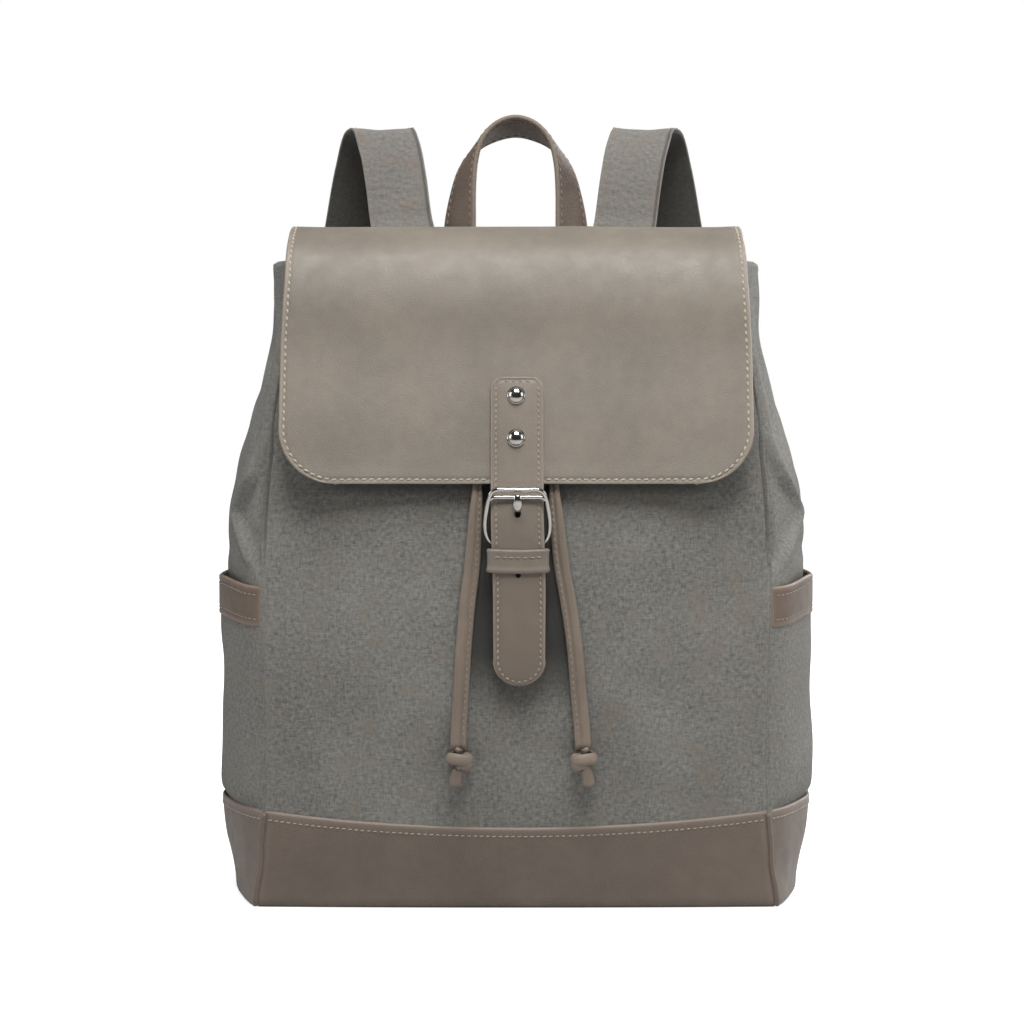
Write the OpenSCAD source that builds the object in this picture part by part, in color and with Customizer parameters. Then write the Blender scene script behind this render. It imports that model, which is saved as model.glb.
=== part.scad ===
// Backpack with a canvas body, a leather base, and a leather flap over a drawcord mouth.
// The front faces -Y, +X is to the right seen from the front, and the floor is at z = 0.

/* [Body] */
// Height of the mouth rim above the floor
rim_h = 347; // [344:1:350]
// Half width of the body at its widest place, above the side pockets
side_reach = 158; // [156:0.5:159]
// Distance from the middle plane to the back panel
back_y = 70; // [69:0.5:71]
// Thickness of the canvas panels
canvas_t = 2; // [1.6:0.1:2.2]
// Thickness of the lining cloth
lining_t = 0.8; // [0.6:0.1:1]

/* [Base] */
// Height of the leather base
base_h = 50; // [46:1:54]
// Half width of the base along its top seam
base_reach = 162; // [160:0.5:163]
// Thickness of the board in the bottom
board_t = 3; // [2:0.5:3.5]

/* [Side pockets] */
// Half width across the side pockets
pocket_reach = 163.5; // [163:0.5:165]
// Height of the pocket mouth
pocket_h = 173; // [165:1:176]
// Height of the leather band round the pocket mouth
band_h = 20; // [16:1:24]
// Thickness of a pocket wall
pocket_t = 1.5; // [1.2:0.1:1.6]

/* [Flap] */
// Half width of the flap
flap_reach = 124; // [120:1:126]
// Height of the lower edge of the flap
flap_low_z = 227.5; // [226.5:0.5:228.5]
// Radius of the two lower corners of the flap
flap_corner_r = 30; // [20:1:40]
// Thickness of the flap leather
flap_t = 1.6; // [1.2:0.1:1.8]

/* [Closure] */
// Half width of the closure strap
closure_half_w = 14.2; // [13:0.1:14.4]
// Thickness of the closure strap
closure_t = 3; // [2.4:0.1:3.2]
// Height of the lower tip of the closure strap
closure_tip_z = 122; // [118:1:130]
// Radius of the buckle wire
wire_r = 1.2; // [1:0.05:1.3]
// Half width of the buckle frame, to the middle of its side wires
frame_half_w = 17.4; // [17:0.1:18]
// Diameter of a rivet head
rivet_d = 10.5; // [9:0.5:11]
// Diameter of the magnetic snap
snap_d = 18; // [14:1:18]

/* [Drawcord] */
// Width of the flat leather cord
cord_w = 8.5; // [7:0.1:8.6]
// Thickness of the flat leather cord
cord_t = 3.4; // [3:0.1:3.5]
// Distance of each eyelet from the middle
eyelet_x = 18; // [16:0.5:24]

/* [Straps and handle] */
// Width of a shoulder strap
strap_w = 36; // [32:1:38]
// Width of the webbing below a shoulder strap
webbing_w = 25; // [20:1:26]
// Thickness of the webbing
webbing_t = 1.6; // [1.2:0.1:1.8]
// Thickness of the handle
handle_t = 3; // [2:0.5:3.5]

/* [Hidden] */
$fn = 48;
gap = 0.15;

canvas = [0.44, 0.44, 0.41];
leather = [0.46, 0.42, 0.38];
dark_leather = [0.38, 0.33, 0.30];
cloth = [0.25, 0.24, 0.23];
steel = [0.75, 0.75, 0.77];

// Numbers of cells along the front, each side and the back of the body's outline.
front_cells = 6;
side_cells = 6;
back_cells = 4;
// Places in that outline where each panel starts.
right_start = front_cells;
back_start = right_start + side_cells;
left_start = back_start + back_cells;
outline_n = left_start + side_cells;

// Each profile lists a share of the rim height and the value there.
corner_x = [[0, 140], [0.15, 134.5], [0.5, 135], [0.62, 134], [0.75, 130], [0.87, 124], [1, 118]];
corner_y = [[0, -70], [0.15, -70], [0.32, -72], [0.5, -72], [0.62, -70], [0.75, -64], [0.87, -56], [1, -48]];
belly = [[0, 3], [0.15, 11], [0.32, 15], [0.5, 15], [0.62, 13], [0.75, 9], [0.87, 5], [1, 2]];
back_x = [[0, 138], [0.15, 134], [0.6, 134], [1, 121]];
back_belly = [[0, 0], [0.3, 2], [0.8, 1], [1, 0]];
// Half width of the canvas sides by height. They draw in behind the pockets.
gusset_out = [[0, 150], [base_h, 152], [80, 151], [150, 151], [165, 153], [180, 157.4],
    [205, side_reach], [240, 152], [275, 142], [310, 135.5], [rim_h, 134]];
base_out = [[0, 155], [10, 155], [30, 159], [base_h, base_reach]];
// The pocket cloth starts from the gusset and reaches its full width a little higher.
pocket_in = [[base_h, 152.2], [base_h + 12, pocket_reach - 1.8], [pocket_h, pocket_reach - 1.8]];

panel_z = [base_h + gap, 80, 115, 150, 165, 180, 205, 240, 275, 310, rim_h - 1.8];
base_z = [0, 2.5, 8, 30, base_h];
base_round = [6, 2.4, 0.2, 0, 0];

// Side view of the flap's outer face, as [y, z], from the hinge seam to the lower edge.
flap_line = [[72, 353], [40, 363], [0, 367], [-35, 364], [-55, 351], [-65, 330], [-71, 300],
    [-81.5, 260], [-89, flap_low_z]];
// Side view of the closure strap's back face.
closure_line = [[-75.4, 284], [-81.7, 260], [-89.2, flap_low_z + 1], [-93.1, 215], [-93.3, 196],
    [-94, 160], [-94, 140], [-92, closure_tip_z]];

snap_z = 150;
heel = [-90.2, 196];
frame_tilt = 15;
rivet_z = [274, 252];
// Distance from the strap's back face to the far side of the rivet washers, and their thickness.
washer_depth = 3.6;
washer_t = 0.6;
keeper_z = [182, 193.8];
pin_hole_z = 180;
prong_r = 1.1;
running = 0.08;

eyelet_z = 335;
// Side view of the free cords, as [y, z], from under the eyelets to the knots.
cord_line = [[-57.2, 331.4], [-61, 312], [-66.5, 292], [-75.9, 260], [-82.8, 232], [-85.4, 222],
    [-86.7, 208], [-87, 196], [-87.8, 182], [-88.7, 166], [-89.1, 142], [-89, 116], [-88.6, 100],
    [-88.9, 88]];
// Distance of each cord from the middle at those places. The right one hangs wider.
right_cord_out = [18, 18, 18, 18.6, 19.6, 20.2, 21.6, 22.6, 24.4, 27.3, 30.7, 33, 34.6, 35.4];
left_cord_out = [18, 18, 18, 18.8, 20, 20.6, 21.6, 22.3, 23.5, 25.5, 27.6, 29.2, 30.2, 30.6];
knot_y = -89.4;
knot_z = 82;
right_knot_out = 35.6;
left_knot_out = 29.6;

// Routes of the right shoulder strap: sewn end, moving pad and webbing.
anchor_route = [[62, 76.2, 322], [62.3, 76.4, 346], [64, 79.5, 358], [68, 86, 372]];
strap_route = [[69.2, 88.5, 376.6], [72, 95, 400], [75.5, 103, 418], [80, 113, 428.5], [86, 125, 425],
    [92, 134, 405], [98, 139.5, 374], [106, 138, 320], [112, 131, 265], [116, 123.5, 210], [118, 116, 172]];
webbing_route = [[118, 115.8, 171.5], [120, 80.5, 56]];
adjuster_z = 120;

// Half of the handle: its front edge and its rear edge, from the base to the middle of the top.
handle_front = [[23.5, 79.5, 354], [23.3, 82.5, 372], [23.4, 85.5, 392], [22.5, 88.5, 410],
    [19, 91, 424], [11, 93, 433.5], [0, 94, 437]];
handle_rear = [[42, 90, 354], [41.5, 94.5, 372], [38.5, 99.5, 388], [33.5, 103, 404],
    [26, 106, 414.5], [15, 110, 422], [0, 113, 426]];

function mix(a, b, t) = a + (b - a) * t;
function unit(v) = v / norm(v);
function reversed(list) = [for (i = [len(list) - 1:-1:0]) list[i]];
function along(table, z) = lookup(z / rim_h, table);

// Outline of the body at height z, counter-clockwise from above, starting at the front left corner.
function side_points(z, reach) = [
    for (i = [1:side_cells - 1])
        let (v = i / side_cells, flat = mix(along(corner_x, z), along(back_x, z), v))
        [mix(flat, reach, pow(sin(180 * v), 0.7)), mix(along(corner_y, z), back_y, v)]
];
function outline(z, reach) = concat(
    [for (i = [0:front_cells]) let (u = 2 * i / front_cells - 1)
        [u * along(corner_x, z), along(corner_y, z) - along(belly, z) * (1 - u * u)]],
    side_points(z, reach),
    [for (i = [0:back_cells]) let (u = 1 - 2 * i / back_cells)
        [u * along(back_x, z), back_y + along(back_belly, z) * (1 - u * u)]],
    [for (p = reversed(side_points(z, reach))) [-p[0], p[1]]]
);

// Outward normal of the edge from a to b.
function edge_normal(a, b) = let (d = unit(b - a)) [d[1], -d[0]];
// Moves a point of a closed outline inwards by d, keeping its edges parallel.
function drawn_in(ring, i, d) =
    let (n = len(ring), here = ring[i % n],
        before = edge_normal(ring[(i + n - 1) % n], here),
        after = edge_normal(here, ring[(i + 1) % n]))
    here - (before + after) / (1 + before * after) * d;
function inset(ring, d) = [for (i = [0:len(ring) - 1]) drawn_in(ring, i, d)];

// One level of a panel, from outline place a to b, kept a small gap short at both ends.
function level(z, reach, d, a, b) =
    let (ring = inset(outline(z, reach), d), n = len(ring), p = [for (i = [a:b]) ring[i % n]], last = b - a)
    [for (i = [0:last])
        let (end = i == 0 ? unit(p[1] - p[0]) : i == last ? unit(p[last - 1] - p[last]) : [0, 0],
            q = p[i] + end * gap)
        [q[0], q[1], z]];

// Two triangles for the square a, b, c, d.
function square_faces(a, b, c, d) = [[a, b, c], [a, c, d]];

// A closed sheet between an outer and an inner grid of points. Rows go up and columns go round.
module sheet(outer, inner) {
    rows = len(outer) - 1;
    cols = len(outer[0]) - 1;
    n = (rows + 1) * (cols + 1);
    function o(i, j) = i * (cols + 1) + j;
    function k(i, j) = n + o(i, j);
    polyhedron(
        concat([for (r = outer) each r], [for (r = inner) each r]),
        concat(
            [for (i = [0:rows - 1], j = [0:cols - 1])
                each square_faces(o(i, j), o(i + 1, j), o(i + 1, j + 1), o(i, j + 1))],
            [for (i = [0:rows - 1], j = [0:cols - 1])
                each square_faces(k(i, j), k(i, j + 1), k(i + 1, j + 1), k(i + 1, j))],
            [for (j = [0:cols - 1]) each square_faces(o(0, j), o(0, j + 1), k(0, j + 1), k(0, j))],
            [for (j = [0:cols - 1])
                each square_faces(o(rows, j + 1), o(rows, j), k(rows, j), k(rows, j + 1))],
            [for (i = [0:rows - 1]) each square_faces(o(i + 1, 0), o(i, 0), k(i, 0), k(i + 1, 0))],
            [for (i = [0:rows - 1])
                each square_faces(o(i, cols), o(i + 1, cols), k(i + 1, cols), k(i, cols))]
        )
    );
}

// A solid through a list of sections. A closed one joins its last section to its first.
// A flipped one takes sections that turn the other way, so its sides' diagonals turn too.
module loft(sections, closed = false, flip = false) {
    n = len(sections);
    m = len(sections[0]);
    function at(i, j) = (i % n) * m + j % m;
    faces = concat(
        [for (i = [0:n - (closed ? 1 : 2)], j = [0:m - 1])
            each square_faces(at(i, j), at(i + 1, j), at(i + 1, j + 1), at(i, j + 1))],
        closed ? [] : [[for (j = [0:m - 1]) j], [for (j = [m - 1:-1:0]) (n - 1) * m + j]]
    );
    polyhedron([for (s = sections) each s], flip ? [for (f = faces) reversed(f)] : faces);
}

// A tub between an outer and an inner set of rings, closed at the bottom.
module tub(outer, inner) {
    rows = len(outer) - 1;
    m = len(outer[0]);
    n = (rows + 1) * m;
    function o(i, j) = i * m + j % m;
    function k(i, j) = n + o(i, j);
    polyhedron(
        concat([for (r = outer) each r], [for (r = inner) each r]),
        concat(
            [for (i = [0:rows - 1], j = [0:m - 1])
                each square_faces(o(i, j), o(i + 1, j), o(i + 1, j + 1), o(i, j + 1))],
            [for (i = [0:rows - 1], j = [0:m - 1])
                each square_faces(k(i, j), k(i, j + 1), k(i + 1, j + 1), k(i + 1, j))],
            [for (j = [0:m - 1]) each square_faces(o(rows, j + 1), o(rows, j), k(rows, j), k(rows, j + 1))],
            [[for (j = [0:m - 1]) j], [for (j = [m - 1:-1:0]) n + j]]
        )
    );
}

// Smooth points through a route, with k steps to each stretch.
function spline(p0, p1, p2, p3, t) = 0.5 * (2 * p1 + (p2 - p0) * t
    + (2 * p0 - 5 * p1 + 4 * p2 - p3) * t * t + (3 * p1 - p0 - 3 * p2 + p3) * t * t * t);
function smooth(p, k) = let (last = len(p) - 1) [
    for (i = [0:last - 1], s = [0:k - 1])
        spline(p[max(i - 1, 0)], p[i], p[i + 1], p[min(i + 2, last)], s / k),
    p[last]
];

// Sections of a band that follows a route with its width along X, as [across, through] offsets.
function direction(p, i) = unit(p[min(i + 1, len(p) - 1)] - p[max(i - 1, 0)]);
function band_sections(route, shape) = [
    for (i = [0:len(route) - 1])
        let (t = direction(route, i), w = unit([1, 0, 0] - t[0] * t), n = cross(t, w))
        [for (s = shape) route[i] + w * s[0] + n * s[1]]
];
function flat_shape(w, low, high) = [[-w / 2, low], [w / 2, low], [w / 2, high], [-w / 2, high]];
function oval_shape(w, t, sides) =
    [for (i = [0:sides - 1]) [w / 2 * cos(360 * i / sides), t / 2 * sin(360 * i / sides)]];

// A side view polygon, as [y, z] points, made solid across X.
module across_x(points, half_w) {
    rotate([90, 0, 90])
        translate([0, 0, -half_w])
            linear_extrude(2 * half_w)
                polygon(points);
}
// A front view shape, as [x, z], made solid from y = front to y = rear.
module across_y(front, rear) {
    translate([0, rear, 0])
        rotate([90, 0, 0])
            linear_extrude(rear - front)
                children();
}
// Moves an open [y, z] line sideways. A positive d goes towards the inside of the flap.
function line_normal(a, b) = let (d = unit(b - a)) [-d[1], d[0]];
function shifted(line, d) = [
    for (i = [0:len(line) - 1])
        let (last = len(line) - 1,
            before = line_normal(line[max(i - 1, 0)], line[max(i, 1)]),
            after = line_normal(line[min(i, last - 1)], line[min(i + 1, last)]))
        line[i] + (before + after) / (1 + before * after) * d
];
function thick_line(line, low, high) = concat(shifted(line, low), reversed(shifted(line, high)));
// Place and slope of an open [y, z] line that runs down, at height z.
function line_y(line, z) = lookup(z, [for (p = reversed(line)) [p[1], p[0]]]);
function line_slope(line, z) = atan((line_y(line, z + 1) - line_y(line, z - 1)) / 2);
function front_y(x, z) = along(corner_y, z) - along(belly, z) * (1 - pow(x / along(corner_x, z), 2));

module mirrored(left) {
    if (left) mirror([1, 0, 0]) children();
    else children();
}

// Body panels

module body_panel(a, b) {
    sheet([for (z = panel_z) level(z, lookup(z, gusset_out), 0, a, b)],
        [for (z = panel_z) level(z, lookup(z, gusset_out), canvas_t, a, b)]);
}
module front_panel() {
    color(canvas)
        difference() {
            body_panel(0, right_start);
            at_eyelets() cylinder(r = 4.6, h = 12, center = true);
        }
}
module gusset_right() {
    color(canvas) body_panel(right_start, back_start);
}
module gusset_left() {
    color(canvas) body_panel(left_start, outline_n);
}
module back_panel() {
    color(canvas) body_panel(back_start, left_start);
}
module back_foam() {
    color(cloth)
        across_y(62.2, 67.4)
            translate([-112, 16])
                square([224, 302]);
}

// Leather base

module base_panel(a, b) {
    sheet([for (i = [0:len(base_z) - 1]) level(base_z[i], lookup(base_z[i], base_out), base_round[i], a, b)],
        [for (i = [0:len(base_z) - 1])
            level(base_z[i], lookup(base_z[i], base_out), base_round[i] + canvas_t, a, b)]);
}
module base_front() {
    color(leather) base_panel(0, right_start);
}
module base_right() {
    color(leather) base_panel(right_start, back_start);
}
module base_back() {
    color(leather) base_panel(back_start, left_start);
}
module base_left() {
    color(leather) base_panel(left_start, outline_n);
}
module base_bottom() {
    color(leather)
        linear_extrude(2)
            polygon(inset(outline(0, lookup(0, base_out)), 8.3));
}
module base_board() {
    color(cloth)
        translate([0, 0, 2.3])
            linear_extrude(board_t)
                polygon(inset(outline(0, lookup(0, gusset_out)), 10));
}

// Inside

// A level of the lining. It runs in front of the foam at the back.
function lining_level(z, level_z, d, deepest) = [
    for (p = inset(outline(z, lookup(z, gusset_out)), d)) [p[0], min(p[1], deepest), level_z]
];
module lining() {
    floor_z = 7;
    lining_z = [for (z = panel_z) if (z < 300) z];
    low = concat([floor_z], lining_z, [320]);
    color(cloth)
        tub([for (z = low) lining_level(z, z, canvas_t + 1, 61.8)],
            [for (z = low)
                lining_level(z, z == floor_z ? z + lining_t : z, canvas_t + 1 + lining_t, 61.8 - lining_t)]);
}
module inner_sleeve() {
    wall = 1.2;
    color(cloth)
        difference() {
            translate([-100, 53, 12]) cube([200, 7.8, 213]);
            translate([-100 + wall, 53 + wall, 12 + wall]) cube([200 - 2 * wall, 20, 300]);
        }
}
// The rim strip caps the panels and hangs down inside them, which makes the cord's tunnel.
module mouth_hem() {
    tunnel = 8;
    wall = 1.3;
    cap_z = rim_h - 1.6;
    rings = [
        inset(outline(rim_h, lookup(rim_h, gusset_out)), 0),
        inset(outline(rim_h, lookup(rim_h, gusset_out)), tunnel + wall),
        inset(outline(322, lookup(322, gusset_out)), tunnel + wall),
        inset(outline(322, lookup(322, gusset_out)), tunnel),
        inset(outline(cap_z, lookup(cap_z, gusset_out)), tunnel),
        inset(outline(cap_z, lookup(cap_z, gusset_out)), 0)
    ];
    heights = [rim_h, rim_h, 322, 322, cap_z, cap_z];
    color(canvas)
        loft([for (i = [0:outline_n - 1]) [for (k = [0:5]) [rings[k][i][0], rings[k][i][1], heights[k]]]],
            closed = true);
}

// Drawcord

module at_eyelets() {
    for (side = [-1, 1])
        translate([side * eyelet_x, front_y(eyelet_x, eyelet_z), eyelet_z])
            rotate([90 - eyelet_lean(), 0, 0])
                children();
}
function eyelet_lean() = atan((front_y(eyelet_x, rim_h) - front_y(eyelet_x, 323)) / (rim_h - 323));
module eyelets() {
    bore_r = 3.4;
    color(steel)
        at_eyelets()
            rotate_extrude()
                polygon([[bore_r, 1], [6.6, 0.7], [7, 0.2], [4.4, 0.2], [4.4, -2.2], [6, -2.2], [6, -2.8],
                    [bore_r, -2.8]]);
}
// The cord inside the hem, from one eyelet round the back to the other.
module drawcord_loop() {
    n = outline_n;
    front_place = front_cells / 2 + 1;
    z = eyelet_z;
    near = [for (i = [0:3]) inset(outline(z, lookup(z, gusset_out)), i == 0 || i == 3 ? 3.6 : 6.6)];
    heights = [z - cord_w / 2 + 1, z - cord_w / 2 + 1, z + cord_w / 2 - 1, z + cord_w / 2 - 1];
    places = [for (i = [front_place:front_place + n - 2]) i % n];
    first = [for (k = [0:3]) let (p = near[k][front_cells / 2]) [eyelet_x - 5, p[1], heights[k]]];
    last = [for (k = [0:3]) let (p = near[k][front_cells / 2]) [-eyelet_x + 5, p[1], heights[k]]];
    around = [for (i = places) [for (k = [0:3]) [near[k][i][0], near[k][i][1], heights[k]]]];
    color(dark_leather) {
        loft(concat([first], around, [last]));
        at_eyelets() {
            translate([0, 0, -5]) cylinder(r = 2.8, h = 7.4);
            translate([0, 0, 2.4]) sphere(r = 2.8);
        }
    }
}
module drawcord(out) {
    route = [for (i = [0:len(cord_line) - 1]) [out[i], cord_line[i][0], cord_line[i][1]]];
    color(dark_leather)
        loft(band_sections(smooth(route, 2), oval_shape(cord_w, cord_t, 10)));
}
module drawcord_right() {
    drawcord(right_cord_out);
}
module drawcord_left() {
    mirror([1, 0, 0]) drawcord(left_cord_out);
}
// The knot lies across the cord, and the cord's cut end hangs out below it.
module knot(out) {
    knot_r = 5.7;
    straight = 2;
    tail_r = 3;
    tail_end = 14;
    color(dark_leather)
        translate([out, knot_y, knot_z]) {
            rotate([0, 90, 0])
                rotate_extrude()
                    polygon(concat(
                        [for (a = [-90:15:0]) [knot_r * cos(a), -straight + knot_r * sin(a)]],
                        [for (a = [0:15:90]) [knot_r * cos(a), straight + knot_r * sin(a)]]
                    ));
            translate([2, 0, -tail_end])
                rotate_extrude()
                    polygon([[0, 0], [tail_r - 1, 0.3], [tail_r, 1.5], [tail_r, tail_end - 3],
                        [0, tail_end - 3]]);
        }
}
module knot_right() {
    knot(right_knot_out);
}
module knot_left() {
    mirror([1, 0, 0]) knot(left_knot_out);
}

// Side pockets

module pocket_wall(rows) {
    sheet([for (z = rows) level(z, pocket_reach - 1.8, -pocket_t - 0.3, right_start, back_start)],
        [for (z = rows) level(z, lookup(z, pocket_in), -0.3, right_start, back_start)]);
}
module pocket_right() {
    color(canvas)
        pocket_wall([base_h + gap, base_h + 12, 80, 115, pocket_h - band_h - gap]);
}
module pocket_left() {
    mirror([1, 0, 0]) pocket_right();
}
module pocket_band_right() {
    color(dark_leather)
        pocket_wall([pocket_h - band_h + gap, pocket_h]);
}
module pocket_band_left() {
    mirror([1, 0, 0]) pocket_band_right();
}

// Sewn ends of the straps and handle

module back_yoke() {
    color(leather)
        across_y(72.2, 74)
            translate([-92, 320])
                square([184, 31]);
}
module handle_anchors() {
    color(dark_leather)
        for (side = [-1, 1])
            across_y(74.2, 77.2)
                translate([side * 32.5 - 10, 323])
                    square([20, 28]);
}
module strap_anchor_right() {
    color(canvas)
        loft(band_sections(smooth(anchor_route, 2), flat_shape(strap_w, -1.6, 1.6)));
}
module strap_anchor_left() {
    mirror([1, 0, 0]) strap_anchor_right();
}
module strap_tab_right() {
    tab_half_w = 14;
    color(leather)
        translate([120, 0, 0])
            across_x([[70.4, 24], [73.6, 24], [80.5, 48], [80.5, 53], [77.3, 53], [77.3, 49], [70.4, 34]],
                tab_half_w);
}
module strap_tab_left() {
    mirror([1, 0, 0]) strap_tab_right();
}

// Flap

module rounded_front(half_w, low, r) {
    translate([-half_w, low + r]) square([2 * half_w, 400]);
    translate([-half_w + r, low]) square([2 * half_w - 2 * r, 400]);
    for (side = [-1, 1]) translate([side * (half_w - r), low + r]) circle(r = r);
}
module flap_layer(low, high, margin) {
    difference() {
        intersection() {
            across_x(thick_line(flap_line, low, high), flap_reach);
            across_y(-120, 100)
                rounded_front(flap_reach - margin, flap_low_z + margin, flap_corner_r - margin);
        }
        at_rivets() cylinder(r = 1.7, h = 20, center = true);
    }
}
module flap_leather() {
    color(leather) flap_layer(0, flap_t, 0);
}
module flap_lining() {
    color(cloth) flap_layer(flap_t + 0.1, flap_t + 1, 3);
}

// Closure

// Places its children on the strap's back face, with Z pointing out of the front.
module at_rivets() {
    for (z = rivet_z)
        translate([0, line_y(closure_line, z), z])
            rotate([90 - line_slope(closure_line, z), 0, 0])
                children();
}
module closure_strap() {
    hole_z = [203, 214.5];
    color(leather)
        difference() {
            intersection() {
                across_x(thick_line(closure_line, -closure_t, 0), closure_half_w);
                across_y(-120, -60)
                    rounded_front(closure_half_w, closure_tip_z, closure_half_w - 0.2);
            }
            at_rivets() cylinder(r = 1.7, h = 20, center = true);
            across_y(-120, -60) {
                translate([-2, hole_z[0]]) square([4, hole_z[1] - hole_z[0]]);
                translate([0, pin_hole_z]) circle(r = 1.6);
            }
        }
}
module strap_rivets() {
    dome_r = 5.8;
    dome_base = sqrt(dome_r * dome_r - rivet_d * rivet_d / 4);
    color(steel)
        at_rivets() {
            intersection() {
                translate([0, 0, closure_t + 0.1 - dome_base]) sphere(r = dome_r);
                translate([0, 0, closure_t + 0.1]) cylinder(r = rivet_d, h = 10);
            }
            translate([0, 0, -washer_depth]) cylinder(r = 1.5, h = closure_t + washer_depth + 0.2);
        }
}
module rivet_washers() {
    color(steel)
        at_rivets()
            translate([0, 0, -washer_depth])
                difference() {
                    cylinder(r = 4.5, h = washer_t);
                    cylinder(r = 1.56, h = 3, center = true);
                }
}
module strap_keeper() {
    wall = 1;
    z = (keeper_z[0] + keeper_z[1]) / 2;
    back = line_y(closure_line, z);
    inner_x = closure_half_w + 0.2;
    color(leather)
        translate([0, back, keeper_z[0]])
            linear_extrude(keeper_z[1] - keeper_z[0])
                difference() {
                    translate([-inner_x - wall, -closure_t - 0.4 - wall])
                        square([2 * inner_x + 2 * wall, closure_t + 0.8 + 2 * wall]);
                    translate([-inner_x, -closure_t - 0.4])
                        square([2 * inner_x, closure_t + 0.8]);
                }
}
// The short leather piece behind the strap that holds the buckle's heel bar.
module buckle_chape() {
    curl_r = 2.6;
    slot = 5;
    color(dark_leather)
        for (side = [-1, 1])
            translate([side * (slot / 2 + 4.2), heel[0], heel[1]])
                difference() {
                    union() {
                        rotate([0, 90, 0]) cylinder(r = curl_r, h = 8.4, center = true);
                        translate([-4.2, -curl_r, 0]) cube([8.4, 1.1, 19]);
                    }
                    rotate([0, 90, 0]) cylinder(r = wire_r + running, h = 20, center = true);
                }
}
module snap_stud() {
    back = line_y(closure_line, snap_z);
    color(steel)
        translate([0, back + 0.15, snap_z])
            rotate([-90, 0, 0]) {
                cylinder(d = snap_d, h = 3.3);
                cylinder(r = 2, h = 4.4);
            }
}
module snap_socket() {
    front = front_y(0, snap_z);
    stud_front = line_y(closure_line, snap_z) + 3.45;
    color(steel)
        translate([0, front - 0.1, snap_z])
            rotate([90, 0, 0])
                difference() {
                    cylinder(d = snap_d, h = front - 0.1 - stud_front - 0.2);
                    translate([0, 0, 1.2]) cylinder(r = 3.6, h = 10);
                }
}
module snap_washer() {
    color(steel)
        translate([0, front_y(0, snap_z) + canvas_t + 0.9, snap_z])
            rotate([90, 0, 0])
                cylinder(d = snap_d - 3, h = 0.5);
}
// The frame's plane leans forwards from its heel bar. Local Z runs up along the frame.
module at_frame() {
    translate([0, heel[0], heel[1]])
        rotate([frame_tilt, 0, 0])
            children();
}
module wire(from, to, r) {
    d = to - from;
    translate(from)
        rotate([0, atan2(d[0], d[2]), 0])
            cylinder(r = r, h = norm(d));
}
module buckle_frame() {
    bend_r = 4;
    low_bar = 25.6;
    top_bar = 29.3;
    side_top = top_bar - bend_r;
    color(steel)
        at_frame() {
            wire([-frame_half_w + bend_r, 0, 0], [frame_half_w - bend_r, 0, 0], wire_r);
            wire([-frame_half_w + bend_r, 0, top_bar], [frame_half_w - bend_r, 0, top_bar], wire_r);
            wire([-frame_half_w, 0, low_bar - 0.2], [frame_half_w, 0, low_bar - 0.2], wire_r * 0.9);
            for (side = [-1, 1]) {
                wire([side * frame_half_w, 0, bend_r], [side * frame_half_w, 0, side_top], wire_r);
                for (corner = [[bend_r, 0], [side_top, 90]])
                    translate([side * (frame_half_w - bend_r), 0, corner[0]])
                        mirror([side < 0 ? 1 : 0, 0, 0])
                            rotate([90, 0, 0])
                                rotate([0, 0, corner[1] == 0 ? -90 : 0])
                                    rotate_extrude(angle = 90)
                                        translate([bend_r, 0]) circle(r = wire_r);
            }
        }
}
// The prong turns on the heel bar, passes through the strap's slot and rests on the top bars.
module buckle_prong() {
    line = [[-90.2, 198], [-90.3, 206.5], [-98.9, 214.5], [-100.5, 223.6]];
    color(steel)
        difference() {
            union() {
                translate([0, heel[0], heel[1]])
                    rotate([0, 90, 0]) cylinder(r = wire_r + 1.2, h = 3, center = true);
                across_x(thick_line(line, -prong_r, prong_r), prong_r + 0.1);
            }
            translate([0, heel[0], heel[1]])
                rotate([0, 90, 0]) cylinder(r = wire_r + running, h = 10, center = true);
        }
}

// Handle and shoulder straps

module handle_strap() {
    front = smooth(handle_front, 2);
    rear = smooth(handle_rear, 2);
    n = len(front) - 1;
    // The full arch: the right half up to the top, then the left half down.
    f = concat(front, [for (i = [n - 1:-1:0]) [-front[i][0], front[i][1], front[i][2]]]);
    r = concat(rear, [for (i = [n - 1:-1:0]) [-rear[i][0], rear[i][1], rear[i][2]]]);
    color(dark_leather)
        loft([for (i = [0:len(f) - 1])
            let (t = direction(f, i) + direction(r, i),
                side = unit(cross(t, r[i] - f[i])) * handle_t / 2)
            [f[i] + side, f[i] - side, r[i] - side, r[i] + side]]);
}
// A strap layer narrows towards the webbing. Two layers meet along the same diagonals.
function pad_sections(low, high, flip = false) =
    let (route = smooth(strap_route, 2), last = len(route) - 1)
    [for (i = [0:last])
        let (w = mix(strap_w, webbing_w + 3, pow(max(0, i / last - 0.6) / 0.4, 2)),
            shape = flat_shape(w, low, high))
        band_sections(route, flip ? reversed(shape) : shape)[i]];
module strap_outer_right() {
    color(canvas) loft(pad_sections(-1.7, -0.1));
}
module strap_outer_left() {
    mirror([1, 0, 0]) strap_outer_right();
}
module strap_lining_right() {
    color(cloth) loft(pad_sections(0.1, 1.7, flip = true), flip = true);
}
module strap_lining_left() {
    mirror([1, 0, 0]) strap_lining_right();
}
module webbing_right() {
    color(cloth)
        loft(band_sections(webbing_route, flat_shape(webbing_w, -webbing_t / 2, webbing_t / 2)));
}
module webbing_left() {
    mirror([1, 0, 0]) webbing_right();
}
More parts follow.
